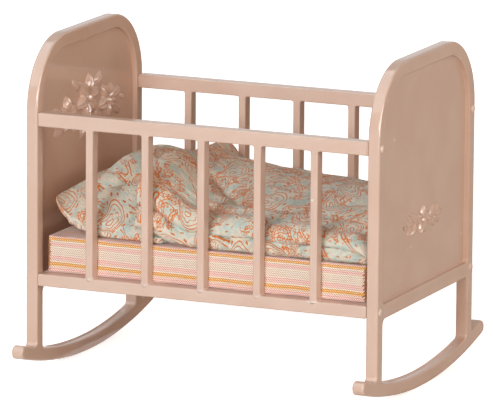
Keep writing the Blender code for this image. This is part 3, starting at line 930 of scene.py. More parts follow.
@dataclass
class EndCasting:
    """An end of the cradle: arched rim, sunk panel, cross rail, legs and rocker, in one casting."""

    end: End
    frame: Frame = FRAME
    rim: float = 0.0040
    arch_radius: float = 0.0200
    edge_radius: float = 0.00045
    outer_edge: float = 0.0006
    cross_rail_drop: float = 0.0007
    rocker_radius: float = 0.1640
    rocker_thickness: float = 0.0039
    rocker_overhang: float = 0.0096
    leg_fillet: float = 0.0012
    opening_fillet: float = 0.0012
    recess_fillet: float = 0.0012
    rail_fillet: float = 0.0018
    groove_half_width: float = 0.00115
    groove_half_length: float = 0.0265
    groove_depth: float = 0.00035
    groove_wall: float = 0.0003
    groove_levels: tuple[float, ...] = (1, 0.87, 0.74, 0.5, 0, -0.5, -0.74, -0.87, -1)
    recess_edges: tuple[tuple[float, float], ...] = ((0.00025, 0.00022), (0.0004, 0.0003))
    flat_height: float = 0.00003
    upper_steps: int = 75
    lower_steps: int = 40
    tip_steps: int = 14
    arch_steps: int = 28
    cove_steps: int = 5

    @property
    def top_radius(self) -> float:
        """Radius of the rocker's upper face."""
        return self.rocker_radius - self.rocker_thickness

    @property
    def centre_height(self) -> float:
        """Height of the rocker's centre."""
        return self.rocker_radius - self.flat_height

    def rocker_arc(self, radius: float, start: float, end: float, steps: int) -> list[Vector]:
        """Return points on an arc about the rocker's centre, with angles from straight down."""
        down = -math.pi / 2
        return arc((0, self.centre_height), radius, down + start, down + end, steps)

    def top_point(self, across: float) -> Vector:
        """Return the point of the rocker's upper face at a distance from the middle."""
        return Vector((across, self.centre_height - math.sqrt(self.top_radius ** 2 - across ** 2)))

    def shoulder(self, radius: float) -> list[Vector]:
        """Return the arch's round corner at a radius, from its side to its top."""
        centre = (self.frame.half_width - self.arch_radius, self.frame.arch_top - self.arch_radius)
        return arc(centre, radius, 0, math.pi / 2, self.arch_steps)

    def outline(self) -> list[Vector]:
        """Draw the outer outline: rocker, round tips, legs and arch.

        Returns:
            The outline's points.
        """
        half_width = self.frame.half_width
        middle_radius = self.rocker_radius - self.rocker_thickness / 2
        tip = math.asin((half_width + self.rocker_overhang - self.rocker_thickness / 2) / middle_radius)
        half = self.rocker_arc(self.rocker_radius, tip / (2 * self.lower_steps), tip, self.lower_steps)
        tip_centre = self.rocker_arc(middle_radius, tip, tip, 1)[0]
        turn = tip - math.pi / 2
        half += arc(tip_centre, self.rocker_thickness / 2, turn, turn + math.pi, self.tip_steps)[1:-1]
        leg = self.top_point(half_width)
        half.append(self.top_point(half_width + self.rocker_overhang - self.rocker_thickness))
        half += fillet(half[-1], leg, Vector((half_width, self.frame.arch_top)), self.leg_fillet)
        return mirrored(half + self.shoulder(self.arch_radius))

    def leg_opening(self) -> list[Vector]:
        """Draw the opening between legs, cross rail and rocker.

        Returns:
            The outline's points.
        """
        inner = self.frame.half_width - self.rim
        underside = self.frame.leg_height - self.cross_rail_drop
        last = math.asin((inner - 2 * self.opening_fillet) / self.top_radius)
        half = self.rocker_arc(self.top_radius, last / (2 * self.upper_steps), last, self.upper_steps)
        foot = self.top_point(inner)
        corner = Vector((inner, underside))
        half += fillet(half[-1], foot, corner, self.opening_fillet)
        half += fillet(foot, corner, Vector((0, underside)), self.rail_fillet)
        return mirrored(half)

    def recess(self) -> list[Vector]:
        """Draw the sunk panel.

        Returns:
            The outline's points.
        """
        side = self.frame.half_width - self.rim
        corner = Vector((side, self.frame.rail_top))
        above = Vector((side, self.frame.arch_top))
        half = fillet(Vector((0, self.frame.rail_top)), corner, above, self.recess_fillet)
        return mirrored(half + self.shoulder(self.arch_radius - self.rim))

    def recess_path(self, side: int, edge: float, cove: float) -> list[tuple[float, float]]:
        """Return the path from the rim down to the panel.

        Args:
            side: +1 for the outer face and -1 for the inner one.
            edge: The radius of the rim's edge.
            cove: The radius of the corner at the panel.

        Returns:
            Pairs of depth and offset.
        """
        path = edge_round(self.frame.end_thickness / 2, edge, inward=False)
        for angle in quarter(self.cove_steps):
            path.append((self.frame.web / 2 + cove * (1 - math.sin(angle)), -cove * (1 - math.cos(angle))))
        return [(side * depth, offset) for depth, offset in path]

    def cut_groove(self, bm: bmesh.types.BMesh) -> None:
        """Sink the round-ended groove into the rocker's upper face.

        Args:
            bm: The casting's mesh.
        """
        centre = Vector((0, self.centre_height))
        reach = self.groove_half_length - self.groove_half_width
        for vert in bm.verts:
            radial = Vector(vert.co.yz) - centre
            if abs(radial.length - self.top_radius) > 1e-6 or abs(vert.co.x) > self.groove_half_width:
                continue
            along = max(0.0, abs(math.atan2(radial.x, -radial.y)) * self.top_radius - reach)
            inside = self.groove_half_width - math.hypot(along, vert.co.x)
            depth = self.groove_depth * smooth_step(inside / self.groove_wall)
            moved = centre + radial * ((self.top_radius + depth) / self.top_radius)
            vert.co.y, vert.co.z = moved

    def build(self, material: bpy.types.Material) -> bpy.types.Object:
        """Build the casting.

        Args:
            material: Its finish.

        Returns:
            The piece.
        """
        casting = Casting()
        face = self.frame.end_thickness / 2
        levels = [(self.groove_half_width * share, 0.0) for share in self.groove_levels]
        casting.cut(self.outline(), edge_path(face, self.outer_edge, inward=True))
        casting.cut(self.leg_opening(), edge_path(face, self.edge_radius, inward=False, between=levels))
        for side, ring, (edge, cove) in zip((1, -1), casting.rings, self.recess_edges):
            rim, floor = casting.wall(self.recess(), self.recess_path(side, edge, cove))
            casting.fill(floor)
            casting.fill(ring + rim)
        self.cut_groove(casting.bm)
        placing = self.end.placing(self.frame.half_bed + face)
        bmesh.ops.transform(casting.bm, matrix=placing, verts=casting.bm.verts)
        name = f"{self.end.name.lower()}_end"
        return finish_piece(name + "_casting", casting.bm, material, "cradle", [name])


@dataclass
class SideGate:
    """A side gate: two rails and five bars in one casting, with small fillets at every corner."""

    side: Side
    frame: Frame = FRAME
    edge_radius: float = 0.0004
    corner: float = 0.0006
    rail_end: float = 0.0006
    ledge_width: float = 0.0012
    ledge_top: float = 0.0281
    ledge_room: float = 0.0003
    ledge_edge: float = 0.0003

    def bar_sides(self) -> list[tuple[float, float]]:
        """Return the left and right side of each bar."""
        f = self.frame
        middles = [(index - (f.bars - 1) / 2) * f.bar_pitch for index in range(f.bars)]
        return [(middle - f.bar_width / 2, middle + f.bar_width / 2) for middle in middles]

    def outline(self) -> list[Vector]:
        """Draw the outer outline, which is notched between the rails at both ends.

        Returns:
            The outline's points.
        """
        f = self.frame
        end = f.half_bed
        last = self.bar_sides()[-1][1]
        right = [
            (end, f.leg_height, self.rail_end), (end, f.rail_top, self.rail_end),
            (last, f.rail_top, self.corner), (last, f.upper_rail, self.corner),
            (end, f.upper_rail, self.rail_end / 2), (end, f.upper_rail_top, self.rail_end),
        ]
        left = [(-x, z, radius) for x, z, radius in reversed(right)]
        return rounded(right + left)

    def windows(self) -> list[list[Vector]]:
        """Draw the openings between bars.

        Returns:
            Their outlines.
        """
        f = self.frame
        sides = self.bar_sides()
        made = []
        for (_, left), (right, _) in zip(sides, sides[1:]):
            corners = ((left, f.rail_top), (right, f.rail_top), (right, f.upper_rail), (left, f.upper_rail))
            made.append(rounded([(x, z, self.corner) for x, z in corners]))
        return made

    def build(self, material: bpy.types.Material) -> bpy.types.Object:
        """Build the gate.

        Args:
            material: Its finish.

        Returns:
            The piece.
        """
        f = self.frame
        casting = Casting()
        face = f.rail_depth / 2
        casting.cut(self.outline(), edge_path(face, self.edge_radius, inward=True))
        for window in self.windows():
            casting.cut(window, edge_path(face, self.edge_radius, inward=False))
        for ring in casting.rings:
            casting.fill(ring)
        size = (self.ledge_width * 2, f.bed_length - 2 * self.ledge_room, self.ledge_top - f.leg_height)
        casting.bar(size, (-face, 0, (self.ledge_top + f.leg_height) / 2), self.ledge_edge)
        turn = Matrix.Rotation(self.side.value * math.pi / 2, 4, "Z")
        placing = Matrix.Translation((0, self.side.value * (f.half_width - face), 0)) @ turn
        bmesh.ops.transform(casting.bm, matrix=placing, verts=casting.bm.verts)
        name = f"{self.side.name.lower()}_side_gate"
        return finish_piece(name + "_casting", casting.bm, material, "cradle", [name])


@dataclass
class Rivets:
    """The rivets that pin the rails to the ends: low domes under the paint."""

    frame: Frame = FRAME
    head_radius: float = 0.0011
    head_height: float = 0.00050
    shank_radius: float = 0.00045
    shank_length: float = 0.0074
    seat_depth: float = 0.0004
    dome_steps: int = 8
    dome_power: float = 0.8

    def profile(self) -> list[Vector]:
        """Draw the rivet's profile, from the shank's end to the dome's top.

        Returns:
            Points with their place along the axis and their radius.
        """
        made = [Vector((-self.shank_length, 0)), Vector((-self.shank_length, self.shank_radius)),
                Vector((-self.seat_depth, self.shank_radius)), Vector((-self.seat_depth, self.head_radius))]
        for angle in quarter(self.dome_steps):
            radius = self.head_radius * math.cos(angle) ** self.dome_power
            made.append(Vector((self.head_height * math.sin(angle), radius)))
        made[-1].y = 0
        return made

    def build_one(self, name: str, placing: Matrix, material: bpy.types.Material) -> bpy.types.Object:
        """Build one rivet.

        Args:
            name: The rivet's node.
            placing: Where it goes; its head faces +X before that.
            material: Its finish.

        Returns:
            The piece.
        """
        bm = bmesh.new()
        verts = [bm.verts.new((point.x, point.y, 0)) for point in self.profile()]
        edges = [bm.edges.new(pair) for pair in zip(verts, verts[1:])]
        bmesh.ops.spin(bm, geom=verts + edges, cent=(0, 0, 0), axis=(1, 0, 0), angle=2 * math.pi,
                       steps=28, use_merge=True)
        bmesh.ops.remove_doubles(bm, verts=bm.verts, dist=1e-7)
        bmesh.ops.transform(bm, matrix=placing, verts=bm.verts)
        return finish_piece(name + "_dome", bm, material, "cradle", [name])

    def build(self, material: bpy.types.Material) -> None:
        """Build all the rivets.

        Args:
            material: Their finish.
        """
        f = self.frame
        levels = {"top": f.upper_rail + f.top_rail / 2, "bottom": f.leg_height + f.bottom_rail / 2}
        for end, side, (level, height) in product(End, Side, levels.items()):
            placing = end.placing(
                f.half_bed + f.end_thickness, side.value * (f.half_width - f.rivet_inset), height)
            name = f"{end.name.lower()}_rivet_{side.name.lower()}_{level}"
            self.build_one(name, placing, material)


# Cast ornaments


@dataclass(frozen=True)
class Petal:
    """One raised petal or leaf: where its middle lies, which way it points, and its size."""

    across: float
    up: float
    angle: float
    length: float
    width: float
    height: float
    crease: float = 0.72
    crease_width: float = 0.2
    taper: float = 0.35

    def rise(self, across: float, up: float) -> float:
        """Measure the petal at a point of the panel.

        Args:
            across: The point's place across the panel.
            up: The point's height.

        Returns:
            How high the petal stands there.
        """
        a, b = across - self.across, up - self.up
        along = a * math.cos(self.angle) + b * math.sin(self.angle)
        aside = b * math.cos(self.angle) - a * math.sin(self.angle)
        width = self.width * (1 - self.taper * along / self.length)
        inside = 1 - (along / self.length) ** 2 - (aside / width) ** 2
        if inside <= 0:
            return 0.0
        fold = 1 - self.crease * math.exp(-(aside / (self.crease_width * self.width)) ** 2)
        return self.height * math.sqrt(inside) * fold


def blossom(across: float, up: float, radius: float, petals: int, height: float,
            start: float = 0.3) -> list[Petal]:
    """Return a flower of equal petals round a small button.

    Args:
        across: Its middle across the panel.
        up: Its middle's height.
        radius: Its outer radius.
        petals: How many petals it has.
        height: How high the petals stand.
        start: The first petal's angle.

    Returns:
        The petals and the button.
    """
    middle = radius * 0.58
    made = []
    for index in range(petals):
        angle = start + 2 * math.pi * index / petals
        made.append(Petal(across + middle * math.cos(angle), up + middle * math.sin(angle), angle,
                          radius * 0.42, radius * math.pi / petals * 0.52, height))
    made.append(Petal(across, up, 0.0, radius * 0.2, radius * 0.2, height * 1.15, 0.0))
    return made


def leaves(height: float, *rows: tuple[float, float, float, float]) -> list[Petal]:
    """Return leaves on both sides of the middle.

    Args:
        height: How high they stand.
        rows: Each right-hand leaf's place across and up, its angle and its length.

    Returns:
        The leaves and their mirror images.
    """
    made = []
    for side, (across, up, angle, length) in product((-1, 1), rows):
        turned = angle if side > 0 else math.pi - angle
        made.append(Petal(side * across, up, turned, length, length * 0.42, height, 0.7))
    return made


@dataclass
class Relief:
    """A low cast ornament on a panel, raised from a fine grid."""

    name: str
    shapes: list[Petal]
    end: End
    middle: tuple[float, float]
    size: tuple[float, float]
    step: float = 0.00022
    sink: float = 0.00012
    trace: float = 0.00001
    frame: Frame = FRAME

    def placing(self) -> Matrix:
        """Return the placing of the grid, whose X runs along +Y and Y up, on the panel's face towards +X."""
        depth = self.end.value * (self.frame.half_bed + self.frame.end_thickness / 2) + self.frame.web / 2
        return Matrix.Translation((depth, 0, 0)) @ Matrix(((0, 0, 1), (1, 0, 0), (0, 1, 0))).to_4x4()

    def build(self, material: bpy.types.Material) -> bpy.types.Object:
        """Build the ornament.

        Args:
            material: Its finish.

        Returns:
            The piece.
        """
        bm = bmesh.new()
        cells = [int(length / self.step) for length in self.size]
        bmesh.ops.create_grid(bm, x_segments=cells[0], y_segments=cells[1], size=0.5)
        bmesh.ops.scale(bm, vec=(*self.size, 1), verts=bm.verts)
        bmesh.ops.translate(bm, vec=(*self.middle, 0), verts=bm.verts)
        for vert in bm.verts:
            vert.co.z = max(shape.rise(vert.co.x, vert.co.y) for shape in self.shapes) - self.sink
        for _ in range(2):
            bmesh.ops.smooth_vert(bm, verts=bm.verts, factor=0.5, use_axis_x=False, use_axis_y=False,
                                  use_axis_z=True)
        flat = [vert for vert in bm.verts if vert.co.z < self.trace - self.sink]
        bmesh.ops.delete(bm, geom=flat, context="VERTS")
        rim = [edge for edge in bm.edges if edge.is_boundary]
        grown = bmesh.ops.extrude_edge_only(bm, edges=rim)["geom"]
        skirt = [item for item in grown if isinstance(item, bmesh.types.BMVert)]
        bmesh.ops.translate(bm, vec=(0, 0, -self.sink), verts=skirt)
        bmesh.ops.transform(bm, matrix=self.placing(), verts=bm.verts)
        return finish_piece(self.name, bm, material, "cradle", smooth_angle=180.0,
                            weighted=False)


def head_garland() -> list[Petal]:
    """Draw the head panel's ornament: three blossoms with leaves and buds between them.

    Returns:
        Its petals and leaves.
    """
    made = blossom(0.0, 0.0735, 0.0070, 6, 0.0020)
    for side in (-1, 1):
        made += blossom(side * 0.0135, 0.0705, 0.0056, 5, 0.0018, 0.9 * side)
    return made + leaves(
        0.0015, (0.0072, 0.0668, -0.9, 0.0030), (0.0075, 0.0782, 0.6, 0.0028), (0.0198, 0.0722, 0.35, 0.0030),
        (0.0196, 0.0668, -0.5, 0.0028), (0.0033, 0.0640, -1.2, 0.0026), (0.0240, 0.0700, -0.1, 0.0018))


def foot_sprig() -> list[Petal]:
    """Draw the foot panel's ornament: a small blossom between two leafy stems.

    Returns:
        Its petals and leaves.
    """
    made = blossom(0.0, 0.0470, 0.0044, 5, 0.0011, math.pi / 2)
    made += leaves(0.0005, (0.0131, 0.0471, 0.0, 0.0020))
    return made + leaves(
        0.0010, (0.0066, 0.0487, 0.75, 0.0023), (0.0068, 0.0453, -0.7, 0.0022),
        (0.0099, 0.0489, 0.6, 0.0020), (0.0101, 0.0455, -0.55, 0.0019))


# Bedding


def bell(value: float, middle: float, width: float) -> float:
    """Return a bell curve that is 1 at its middle."""
    return math.exp(-((value - middle) / width) ** 2)


def swell(share: float, power: float) -> float:
    """Return a round bulge across a length: 0 at both ends and 1 in the middle."""
    return math.sqrt(max(0.0, 1 - abs(2 * share - 1) ** power))


def crowd(share: float, pull: float) -> float:
    """Move an even share towards both ends of its range."""
    return share + pull * (0.5 - 0.5 * math.cos(math.pi * share) - share)


def spline(points: Sequence[tuple[float, float]], share: float) -> tuple[float, float]:
    """Return a point on a smooth curve through points.

    Args:
        points: The points.
        share: The place along the curve, from 0 to 1.

    Returns:
        The point.
    """
    place = clamp(share) * (len(points) - 1)
    index = min(int(place), len(points) - 2)
    t = place - index
    before, start = points[max(index - 1, 0)], points[index]
    end, after = points[index + 1], points[min(index + 2, len(points) - 1)]
    made = []
    for a, b, c, d in zip(before, start, end, after):
        lower = 2 * b + (c - a) * t + (2 * a - 5 * b + 4 * c - d) * t * t
        made.append(0.5 * (lower + (3 * b - a - 3 * c + d) * t ** 3))
    return made[0], made[1]


@dataclass(frozen=True)
class Rumple:
    """How a cover is filled and crumpled by simulation, worked at ten times its size."""

    growth: float = 0.06
    pressure: float = 1.5
    hold: float = 0.05
    frames: int = 16
    cap: float = 0.0007
    scale: float = 10.0

    def run(self, piece: bpy.types.Object, stiffness: Callable[[Vector], float]) -> None:
        """Crumple a piece's mesh, and keep each point near where it was.

        Args:
            piece: The piece.
            stiffness: Gives how firmly a point is held, from 0 to 1.
        """
        mesh = piece.data
        start = [vert.co.copy() for vert in mesh.vertices]
        group = piece.vertex_groups.new(name="held")
        for vert in mesh.vertices:
            group.add([vert.index], max(self.hold, stiffness(vert.co)), "REPLACE")
            vert.co = vert.co * self.scale
        cloth = piece.modifiers.new("rumple", "CLOTH")
        settings = cloth.settings
        values = {
            "quality": 6, "mass": 0.2, "tension_stiffness": 12, "compression_stiffness": 12,
            "shear_stiffness": 4, "bending_stiffness": 0.25, "air_damping": 2, "use_pressure": True,
            "uniform_pressure_force": self.pressure, "shrink_min": -self.growth,
            "vertex_group_mass": "held", "pin_stiffness": 1.0,
        }
        for name, value in values.items():
            setattr(settings, name, value)
        settings.effector_weights.gravity = 0
        cloth.collision_settings.use_collision = False
        cloth.point_cache.frame_start = 1
        cloth.point_cache.frame_end = self.frames
        scene = bpy.context.scene
        for number in range(1, self.frames + 1):
            scene.frame_set(number)
        solved = piece.evaluated_get(bpy.context.evaluated_depsgraph_get())
        places = [vert.co / self.scale for vert in solved.data.vertices]
        piece.modifiers.remove(cloth)
        piece.vertex_groups.remove(group)
        for vert, old, new in zip(mesh.vertices, start, places):
            move = new - old
            share = self.cap / move.length if move.length > self.cap else 1.0
            vert.co = old + move * share
        scene.frame_set(1)


@dataclass
class StuffedCover:
    """A stuffed cloth piece: a lattice of points that a shape places, crumpled and printed."""

    name: str
    nodes: tuple[str, ...]
    body: str
    slot: str
    cells: tuple[int, int, int]
    pulls: tuple[float, float, float] = (0.4, 0.4, 0.0)
    fill: float = 0.6
    rumple: Rumple | None = None

    def place(self, u: float, v: float, w: float) -> Vector:
        """Return the place of the lattice's point at shares along, across and up."""
        raise NotImplementedError

    def stiffness(self, point: Vector) -> float:
        """Return how firmly a point is held while the piece is crumpled."""
        return 0.0

    def lattice(self) -> tuple[bmesh.types.BMesh, list[Vector]]:
        """Cut a cube into cells along each axis.

        Returns:
            The cube's mesh, and each point's shares.
        """
        bm = bmesh.new()
        bmesh.ops.create_cube(bm, size=1, matrix=Matrix.Translation((0.5, 0.5, 0.5)))
        for axis, count in enumerate(self.cells):
            if count > 1:
                ends = [(edge, edge.verts[0].co, edge.verts[1].co) for edge in bm.edges]
                along = [edge for edge, first, last in ends if abs(first[axis] - last[axis]) > 0.5]
                bmesh.ops.subdivide_edges(bm, edges=along, cuts=count - 1, use_grid_fill=True)
        return bm, [Vector(map(crowd, vert.co, self.pulls)) for vert in bm.verts]

    def measure(self) -> None:
        """Measure the shape where the cloth's coordinates need it."""

    def flat_place(self, shares: Vector, normal: Vector) -> tuple[float, float]:
        """Return the cloth's own coordinates, in metres, of a corner of the lattice's face."""
        raise NotImplementedError

    def build(self, material: bpy.types.Material) -> bpy.types.Object:
        """Build the piece.

        Args:
            material: The cover's finish.

        Returns:
            The piece.
        """
        bm, shares = self.lattice()
        bm.verts.index_update()
        bm.normal_update()
        layer = bm.loops.layers.uv.new("cloth")
        self.measure()
        for face in bm.faces:
            for loop in face.loops:
                loop[layer].uv = self.flat_place(shares[loop.vert.index], face.normal)
        for vert, share in zip(bm.verts, shares):
            vert.co = self.place(*share)
        piece = finish_piece(self.name, bm, material, self.body, self.nodes, 180.0, weighted=False)
        if self.rumple:
            self.rumple.run(piece, self.stiffness)
        smooth = piece.modifiers.new("smooth", "SUBSURF")
        smooth.levels = smooth.render_levels = 1
        return piece


@dataclass
class Mattress(StuffedCover):
    """The boxed mattress: drawn-in sides, a low crown and firm edges."""

    frame: Frame = FRAME
    length: float = 0.0966
    width: float = 0.0638
    height: float = 0.0104
    lift: float = 0.0001
    crown: float = 0.0006
    border: float = 0.1
    waist: float = 0.00022
    ripple: float = 0.00022
    ripple_scale: float = 130

    def place(self, u: float, v: float, w: float) -> Vector:
        """Place a point of the mattress.

        Args:
            u: The point's share along the piece.
            v: Its share across.
            w: Its share up.

        Returns:
            The point.
        """
        waist = self.waist * math.sin(math.pi * w) * (1 + 0.4 * math.sin(9 * u + 4 * v))
        x = (u - 0.5) * self.length
        y = (v - 0.5) * self.width
        low = self.frame.rail_top + self.lift
        along, across = 2 * u - 1, 2 * v - 1
        z = low + (self.height + self.crown * (1 - along ** 4) * (1 - across ** 4)) * w
        pull_x = max(0.0, abs(along) + self.border - 1) / self.border
        pull_y = max(0.0, abs(across) + self.border - 1) / self.border
        x -= math.copysign(waist * pull_x, x)
        y -= math.copysign(waist * pull_y, y)
        ripple = noise.noise(Vector((x, y, z)) * self.ripple_scale) * self.ripple
        x = clamp(x, -self.length / 2, self.length / 2)
        y = clamp(y, -self.width / 2, self.width / 2)
        return Vector((x + ripple * pull_x, y + ripple * pull_y, z + ripple * 0.6))

    def flat_place(self, shares: Vector, normal: Vector) -> tuple[float, float]:
        """Lay the ticking: its stripes run level round the sides and along the top.

        Args:
            shares: The corner's shares along, across and up.
            normal: The normal of its face.

        Returns:
            The coordinates along and across the cloth, in metres.
        """
        u, v, w = shares
        if abs(normal.x) > 0.5:
            return v * self.width, w * self.height
        if abs(normal.y) > 0.5:
            return u * self.length, w * self.height
        if normal.z > 0:
            return u * self.length, self.height + v * self.width
        return u * self.length, -v * self.width


@dataclass
class CottonCover(StuffedCover):
    """A printed cover that lies on the mattress, with its cloth measured over its shape."""

    frame: Frame = FRAME
    length: float = 0.0
    bed_size: tuple[float, float] = (0.0966, 0.0628)
    bed_height: float = 0.0395
    bed_crown: float = 0.0006
    room: float = 0.0003
    held_height: float = 0.0009
    cloth_stretch: float = 1.15
    cloth_edge: float = 0.002
    rows: int = 24
    steps: int = 96
    reach: list[list[float]] = field(default_factory=list)

    def mattress_top(self, x: float, y: float) -> float:
        """Return the height of the mattress's upper face."""
        along, across = 2 * x / self.bed_size[0], 2 * y / self.bed_size[1]
        return self.bed_height + self.bed_crown * max(0.0, 1 - along ** 4) * max(0.0, 1 - across ** 4)

    def stiffness(self, point: Vector) -> float:
        """Hold the hem and whatever lies on the mattress or leans low on the head panel."""
        return 1.0 if point.z < self.mattress_top(point.x, point.y) + self.held_height else 0.0

    def measure(self) -> None:
        """Measure rows across the top: how far each step along a row is from its front edge."""
        self.reach = []
        for row in range(self.rows + 1):
            points = [self.place(row / self.rows, step / self.steps, 1.0) for step in range(self.steps + 1)]
            lengths = [(after - before).length for before, after in zip(points, points[1:])]
            self.reach.append(list(accumulate(lengths, initial=0.0)))

    def flat_place(self, shares: Vector, normal: Vector) -> tuple[float, float]:
        """Lay the cotton, measured over the shape.

        Args:
            shares: The corner's shares along, across and up.
            normal: The normal of its face.

        Returns:
            The coordinates along and across the cloth, in metres.
        """
        u, v, w = shares
        row = clamp(u) * self.rows
        low = min(int(row), self.rows - 1)
        step = clamp(v) * self.steps
        left = min(int(step), self.steps - 1)
        across = 0.0
        for index, weight in ((low, 1 - (row - low)), (low + 1, row - low)):
            line = self.reach[index]
            across += weight * (line[left] + (line[left + 1] - line[left]) * (step - left))
        if normal.z < -0.5:
            across = -across - 2 * self.cloth_edge
        elif abs(normal.y) > 0.5:
            across += (w - 1) * self.cloth_edge * (1 if v < 0.5 else -1)
        along = u * self.length * self.cloth_stretch + (1 - w) * self.cloth_edge * (abs(normal.x) > 0.5)
        return along, across


@dataclass
class Pillow(CottonCover):
    """The pillow, which leans up against the head panel, with pointed corners."""

    head_room: float = 0.0030
    length: float = 0.0340
    width: float = 0.0618
    edge: float = 0.0016
    crown: float = 0.0153
    belly: float = 0.0060
    draw: float = 0.0007
    corner_draw: float = 0.0007
    seam_rise: float = 0.0012
    corner_rise: float = 0.0064
    corner_swell: float = 0.0012
    lean: float = 0.0032
    front_dent: float = 0.0030
    head_dent: float = 0.0016
    puckers: tuple[float, float] = (0.00034, 0.00026)
    pucker_room: float = 0.0004

    def hump(self, v: float) -> float:
        """Return how full the pillow is across its width."""
        if v < 0.5:
            return 1 - (1 - 2 * v) ** 1.45
        return math.sqrt(max(0.0, 1 - (2 * v - 1) ** 5))

    def place(self, u: float, v: float, w: float) -> Vector:
        """Place a point of the pillow.

        Args:
            u: The point's share along the piece.
            v: Its share across.
            w: Its share up.

        Returns:
            The point.
        """
        draw_x = self.draw * math.sin(math.pi * v)
        draw_y = self.draw * math.sin(math.pi * u)
        pucker = self.puckers[0] * math.sin(83 * u + 3 * v) + self.puckers[1] * math.sin(61 * v + 17 * u + 2)
        pucker *= smooth_step(u / 0.15)
        draw_x += self.corner_draw * smooth_step((abs(2 * v - 1) - 0.94) / 0.06)
        draw_y += self.corner_draw * smooth_step((abs(2 * u - 1) - 0.9) / 0.1)
        x = -self.frame.half_bed + self.head_room + draw_x + u * (self.length - 2 * draw_x)
        y = (v - 0.5) * (self.width - 2 * draw_y)
        hump = self.hump(v)
        fullness = swell(u, 2.5) * (1.05 - 0.3 * u) * (1 - math.exp(-(u / 0.14) ** 1.5))
        corner = (self.corner_rise + self.corner_swell * hump) * math.exp(-8 * u)
        seam = self.mattress_top(x, y) + self.seam_rise + corner + self.lean * (1 - u) ** 1.5
        rest = self.mattress_top(x, y) + self.room
        bottom = max(rest, seam - self.edge / 2 - self.belly * fullness * swell(v, 3))
        dent = self.front_dent * bell(v, 0.15 + 0.35 * u, 0.042) * bell(u, 0.34, 0.2)
        dent += self.head_dent * bell(u, 0.16 + 0.3 * v, 0.035) * bell(v, 0.35, 0.2)
        top = seam + self.edge / 2 + max(0.0, self.crown * fullness * hump - dent * fullness)
        rim = min(min(u, 1 - u) / 0.10, min(v, 1 - v) / 0.06, 1.0)
        hangs = bottom > rest + self.pucker_room
        return Vector((x, y, bottom + (top - bottom) * w + pucker * (1 - rim) * hangs))


